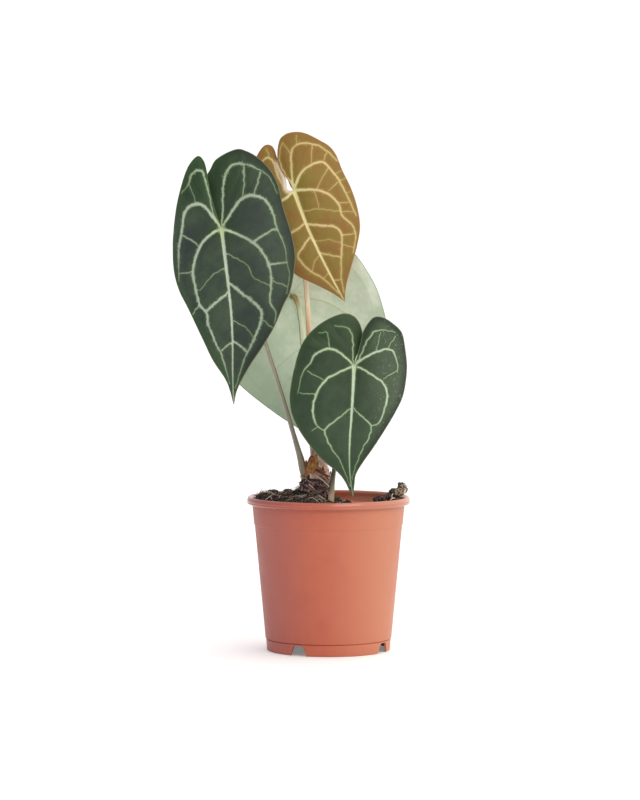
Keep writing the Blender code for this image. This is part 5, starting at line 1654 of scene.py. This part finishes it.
def all_strips():
    rng = np.random.default_rng(31)
    strips = list(STRIPS)
    for _ in range(MORE_STRIPS):
        turn, z = rng.uniform(-180.0, 180.0), rng.uniform(112.5, 128.0)
        sweep = rng.uniform(7.0, 32.0) * rng.choice((-1.0, 1.0))
        end = (turn + sweep, z - rng.uniform(0.5, 5.5))
        strips.append(((turn, z), end, rng.uniform(0.35, 0.8), rng.uniform(0.3, 1.0)))
    return strips


def build_strips(finish):
    """Torn strips and threads of old sheath that lie slantwise over the rootstock."""
    steps, points, faces, tones = 14, [], [], []
    for number, ((from_turn, from_z), (to_turn, to_z), width, tone) in enumerate(all_strips()):
        faces += rod_faces(steps + 1, 4, len(points))
        for i in range(steps + 1):
            t = i / steps
            bend = 5.0 * math.sin(math.pi * t) * (0.5 - number % 2)
            turn = from_turn + (to_turn - from_turn) * t + bend
            z = from_z + (to_z - from_z) * t
            half = 0.5 * width * (0.35 + 0.65 * math.sin(math.pi * min(1.0, 0.12 + 0.95 * t)))
            lift = 0.5 * width + 1.0 * (2 * t - 1) ** 4 + (1.3 if number < 3 else 0.0)
            lift += 0.25 * noise.noise(Vector((number, 6 * t, 0)))
            for up, out in ((-half, 0.0), (half, 0.0), (half, 0.4), (-half, 0.4)):
                angle = math.radians(turn) - math.pi / 2 + up * 0.055
                place = z + up * 0.75
                radius = max(scaly_radius(place + dz, angle) for dz in (-1.0, 0.0, 1.0))
                radius += lift + out
                points.append(round_root(angle, radius, place))
                tones.append(tone)
    obj = outward_faces(new_mesh_object("torn_strips", points, faces))
    store_numbers(obj, "tone", tones)
    return finish_piece(obj, finish)


# ------------ bark

# Pieces of bark on the mix: place, size and turn
CHIPS = (
    (-41.0, 8.0, (9.0, 6.0, 4.0), 0.5),
    (-34.0, -16.0, (8.0, 5.0, 3.4), 2.0),
    (-30.0, 24.0, (10.0, 6.0, 4.5), 1.1),
    (-12.0, -32.0, (8.0, 6.0, 3.6), 0.2),
    (14.0, -36.0, (9.0, 5.0, 4.0), 2.6),
    (32.0, -26.0, (7.5, 5.5, 3.6), 1.6),
    (8.0, 34.0, (9.0, 7.0, 4.0), 0.9),
    (34.0, 20.0, (8.0, 6.0, 4.4), 2.2),
)
CHIP_SUNK = 2.2

# Lumps that make up the large piece: (centre, size, turn about the back-to-front line)
CHUNK_LUMPS = (
    ((50.4, 1.5, 115.4), (14.0, 8.4, 6.6), -0.32),
    ((54.1, 1.2, 119.6), (6.4, 5.6, 6.8), 0.05),
    ((52.2, 1.0, 122.3), (2.8, 3.2, 2.4), -0.5),
    ((55.0, 1.2, 122.0), (3.4, 3.6, 2.2), 0.3),
    ((57.2, 1.4, 117.2), (2.2, 2.4, 4.6), 0.45),
    ((47.2, 0.4, 116.8), (6.2, 5.6, 4.4), -0.45),
    ((44.6, 0.0, 113.6), (6.0, 5.0, 4.0), 0.2),
)

# Lumps of the dark clods beside it
CLODS = (
    ((34.8, -4.0, 110.8), (4.6, 4.6, 4.4), 0.2),
    ((37.4, -3.6, 111.4), (4.2, 4.6, 5.0), -0.3),
    ((40.4, -4.4, 111.2), (4.6, 4.4, 4.0), 0.1),
    ((42.6, -3.2, 112.6), (4.0, 4.6, 4.6), -0.5),
    ((45.4, -3.8, 112.4), (4.6, 4.4, 4.2), 0.5),
    ((39.4, 3.0, 110.6), (7.0, 6.4, 5.0), 0.0),
    ((48.6, -4.4, 111.2), (5.0, 4.6, 4.4), 0.3),
    ((51.0, -4.8, 110.6), (4.4, 4.2, 4.0), -0.2),
)


def rough_lump(centre, size, turn, seed, detail):
    """An icosphere squeezed to size, ridged along its length and pitted all over."""
    bm = bmesh.new()
    bmesh.ops.create_icosphere(bm, subdivisions=detail, radius=1.0)
    shift = Vector((seed * 5.3, 0, 0))
    for vert in bm.verts:
        round_out = 1.0 + 0.3 * noise.noise(vert.co * 1.7 + shift)
        ridge = 0.16 * noise.noise(Vector((vert.co.x * 1.2, vert.co.y * 6, vert.co.z * 6)) + shift)
        pits = 0.07 * noise.noise(vert.co * 9.0 + shift)
        flake = 0.10 * abs(noise.noise(vert.co * 3.4 - shift))
        vert.co *= 0.97 * (round_out + ridge + pits - flake)
    points = [turn @ Vector([v.co[k] * size[k] / 2 for k in range(3)]) + Vector(centre)
              for v in bm.verts]
    faces = [tuple(v.index for v in face.verts) for face in bm.faces]
    bm.free()
    return points, faces


def chip_height(x, y, size, turn):
    reach = [(0.5 * size[0] * a, 0.5 * size[1] * b) for a in (-1, 0, 1) for b in (-1, 0, 1)]
    cos_t, sin_t = math.cos(turn), math.sin(turn)
    ground = max(mix_height(x + a * cos_t - b * sin_t, y + a * sin_t + b * cos_t)
                 - 0.5 * size[2] * (0.75 if a or b else 0) for a, b in reach)
    return ground + 0.5 * size[2] + 0.6


def build_chips(finish):
    for number, (x, y, size, turn) in enumerate(CHIPS, 1):
        centre = (x, y, chip_height(x, y, size, turn) - CHIP_SUNK)
        turned = Euler((0.0, 0.0, turn)).to_matrix()
        points, faces = rough_lump(centre, size, turned, number, 5)
        obj = new_mesh_object(f"bark_piece_{number}", points, faces)
        finish_piece(obj, finish, [f"bark_chip_{number}"])


def one_skin(name, lumps, first_seed, voxel):
    """Several rough lumps melted into one broken piece."""
    points, faces = [], []
    for number, (centre, size, tilt) in enumerate(lumps):
        turned = Euler((0.0, tilt, 0.1)).to_matrix()
        some_points, some_faces = rough_lump(centre, size, turned, first_seed + number, 4)
        faces += [tuple(i + len(points) for i in face) for face in some_faces]
        points += some_points
    obj = new_mesh_object(name, points, faces)
    remesh = obj.modifiers.new("one skin", 'REMESH')
    remesh.mode = 'VOXEL'
    remesh.voxel_size = voxel * MM
    remesh.use_smooth_shade = True
    mesh = finished_mesh(obj)
    obj.modifiers.remove(remesh)
    obj.data = mesh
    return obj


def build_chunk(finish):
    chunk = one_skin("bark_chunk_broken", CHUNK_LUMPS, 21, 0.22)
    return finish_piece(chunk, finish, ["bark_chunk"])


def build_clods(finish):
    """Dark, sticky clods of mix heaped against the large piece of bark."""
    clods = one_skin("dark_clods", CLODS, 41, 0.25)
    return finish_piece(clods, finish)


# Loose straws by the bark: start, end and thickness
LOOSE_STRAWS = (
    ((44.6, -34.4, 113.3), (48.0, -31.2, 114.4), 0.7),
    ((46.6, -7.6, 112.4), (47.3, -6.8, 115.8), 0.8),
    ((55.4, -3.6, 114.6), (57.0, -2.4, 118.0), 1.1),
)


def build_loose_straws(finish):
    """A few pale straws that lie on the rim and lean against the bark."""
    rows, sides, points, faces, tones = 7, 6, [], [], []
    for number, (start, end, thickness) in enumerate(LOOSE_STRAWS):
        start, end = Vector(start), Vector(end)
        across = (end - start).cross(Vector((0.3, 1.0, 0.2))).normalized()
        away = (end - start).cross(across).normalized()
        faces += rod_faces(rows, sides, len(points))
        for row in range(rows):
            t = row / (rows - 1)
            middle = start.lerp(end, t) + 0.35 * math.sin(math.pi * t) * across
            radius = 0.5 * thickness * (0.3 + 0.7 * math.sin(math.pi * (0.1 + 0.8 * t)))
            points += oval(middle, radius * across, 0.6 * radius * away, sides)
        tones += [0.7 + 0.1 * number] * (rows * sides)
    obj = outward_faces(new_mesh_object("loose_straws", points, faces))
    store_numbers(obj, "tone", tones)
    return finish_piece(obj, finish)


def clod_finish():
    """Wet peat: purple-black, with a few lavender and rusty specks."""
    return crumbly_finish(
        "dark_clods", 0.4, (33, 23, 24),
        (((92, 62, 58), 1.6, 0.46, 0.05), ((180, 150, 148), 1.0, 0.39, 0.04)), (0.6, 0.85), 0.8, 0.5)


def chunk_finish():
    """The large piece: purple-black low down, an olive shoulder, a tan face, a grey knob."""
    finish, tree, shader = new_finish("broken_bark", 0.3)
    right, _, height = from_axis(tree)
    ragged = (cloud(object_place(tree), 2.0) - 0.5) * 5.0
    right, height = right + ragged, height + ragged
    olive, share = blotched(tree, (62, 62, 50), ((136, 130, 104), 1.8, 0.4, 0.06))
    tan, _ = blotched(tree, (190, 166, 140), ((78, 63, 46), 1.8, 0.51, 0.07))
    grey, _ = blotched(tree, (172, 162, 154), ((46, 42, 36), 1.5, 0.52, 0.05))
    dark, _ = blotched(tree, (52, 40, 48), ((168, 150, 160), 1.2, 0.4, 0.04))
    knob = spread(height, 118.6, 119.8) * spread(right, 49.6, 51.0)
    pale_knob = spread(height, 122.0, 123.2, 1.0, 0.0) * spread(right, 51.4, 52.8)
    colour = layered(olive, (spread(right, 48.4, 50.0), tan), (knob, (52, 50, 40)),
                     (knob * pale_knob, grey), (spread(height, 113.4, 115.0, 1.0, 0.0), dark))
    dress(shader, colour, spread(share, 0.0, 1.0, 0.74, 0.9), grain(tree, 0.9, 0.45), 0.6)
    return finish


def bark_finish():
    """Damp bark: dull brown, with dark crust, dark fibres and a few pale flecks."""
    def fibrous(tree, colour):
        return streaked(tree, colour, (60, 46, 38), 0.6, 0.4)[0]

    return crumbly_finish(
        "bark", 0.3, (94, 78, 62),
        (((56, 47, 40), 2.4, 0.48, 0.08), ((34, 30, 28), 3.6, 0.46, 0.07),
         ((170, 154, 134), 1.4, 0.37, 0.04)), (0.74, 0.9), 0.9, 0.6, fibrous)


# ------------ studio

CAMERA_AT = (-6.23, -2500.0, 325.0)
CAMERA_DOWN = math.radians(3.228)
FOCAL_LENGTH = 102.24
FILM_HEIGHT = 24.0
LIGHT_LEVEL = 1.0
LIGHT_LEAN = 0.68
LIGHT_COOL = (0.90, 0.92, 1.0, 1.0)
LIGHT_WARM = (1.0, 0.96, 0.88, 1.0)
WHITE = (1.0, 1.0, 1.0, 1.0)
BACKDROP_LEVEL = 1.07
FLOOR_GLOW = 0.2


def build_camera():
    data = bpy.data.cameras.new("front_camera")
    data.sensor_fit = 'VERTICAL'
    data.sensor_height = FILM_HEIGHT
    data.lens = FOCAL_LENGTH
    data.clip_start = 0.05
    data.clip_end = 50.0
    camera = new_object("front_camera", data)
    camera.location = np.array(CAMERA_AT) * MM + POT_AXIS
    camera.rotation_euler = (math.pi / 2 - CAMERA_DOWN, 0.0, 0.0)
    bpy.context.scene.camera = camera


def add_softbox(name, at, aim, size, power, colour=(1.0, 1.0, 1.0)):
    data = bpy.data.lights.new(name, 'AREA')
    data.color = colour
    data.shape = 'RECTANGLE'
    data.size, data.size_y = size
    data.energy = power
    lamp = new_object(name, data)
    lamp.location = at
    lamp.rotation_euler = (Vector(aim) - Vector(at)).to_track_quat('-Z', 'Y').to_euler()


def build_surround():
    """White all round for the camera; as light it is brighter from the right than the left."""
    world = bpy.data.worlds.new("white_studio")
    world.use_nodes = True
    bpy.context.scene.world = world
    tree = world.node_tree
    surround = tree.nodes['Background'].inputs
    towards = add_node(tree, 'ShaderNodeTexCoord')['Generated']
    rightwards = add_node(tree, 'ShaderNodeSeparateXYZ', {0: towards})['X']
    seen = add_node(tree, 'ShaderNodeLightPath')['Is Camera Ray']
    strength = add_node(tree, 'ShaderNodeMix', {0: seen, 2: rightwards * LIGHT_LEAN + LIGHT_LEVEL,
                                                3: BACKDROP_LEVEL})[0]
    tint = blend(spread(rightwards, -0.8, 0.8), LIGHT_COOL, LIGHT_WARM)
    put(blend(seen, tint, WHITE), surround['Color'])
    put(strength, surround['Strength'])


def build_studio():
    """White sweep and soft light, with a large box high on the right."""
    build_surround()
    middle = (0.0, 0.0, 0.2)
    add_softbox("key_right", (1.1, -2.0, 1.5), middle, (1.8, 0.45), 9.5, (1.0, 0.93, 0.84))
    add_softbox("top_back", (0.2, 0.9, 1.9), middle, (1.6, 1.2), 5.0)
    size = 30.0
    mesh = bpy.data.meshes.new("studio_floor")
    mesh.from_pydata([(-size, -size, 0), (size, -size, 0), (size, size, 0), (-size, size, 0)],
                     [], [(0, 1, 2, 3)])
    floor = new_object("studio_floor", mesh)
    floor.location.z = -0.0002
    finish, tree, shader = new_finish("studio_floor", Roughness=0.9, Emission_Color=WHITE)
    paper = cloud(object_place(tree), 60.0, 2.0)
    put(blend(paper, (0.94, 0.94, 0.94, 1), (0.96, 0.96, 0.96, 1)), shader["Base Color"])
    seen = add_node(tree, 'ShaderNodeLightPath')['Is Camera Ray']
    put(seen * FLOOR_GLOW, shader['Emission Strength'])
    mesh.materials.append(finish)
    bpy.context.scene.view_settings.view_transform = 'Standard'


# ------------ the whole plant

def main():
    build_camera()
    build_studio()
    stalk_tree = build_stalk_tree()
    scatter_tree = build_scatter_tree()

    build_pot(pot_finish(), build_openings_tree())
    build_mix(mix_finish())
    build_root(root_finish())
    build_sheaths()
    build_strips(bits_finish("torn_strips", ((112, 52, 42), (196, 160, 150), (250, 236, 226)),
                             0.75, 0.2))
    build_chips(bark_finish())
    build_chunk(chunk_finish())
    build_clods(clod_finish())
    build_loose_straws(bits_finish("loose_straws",
                                   ((150, 128, 90), (232, 216, 184), (250, 242, 222)), 0.7, 0.2))
    strew_mix(scatter_tree)
    strew_root(scatter_tree)
    for key in STALKS:
        build_stalk(key, stalk_tree)
    for key in BLADES:
        build_blade(key, leaf_finish(key))


main()
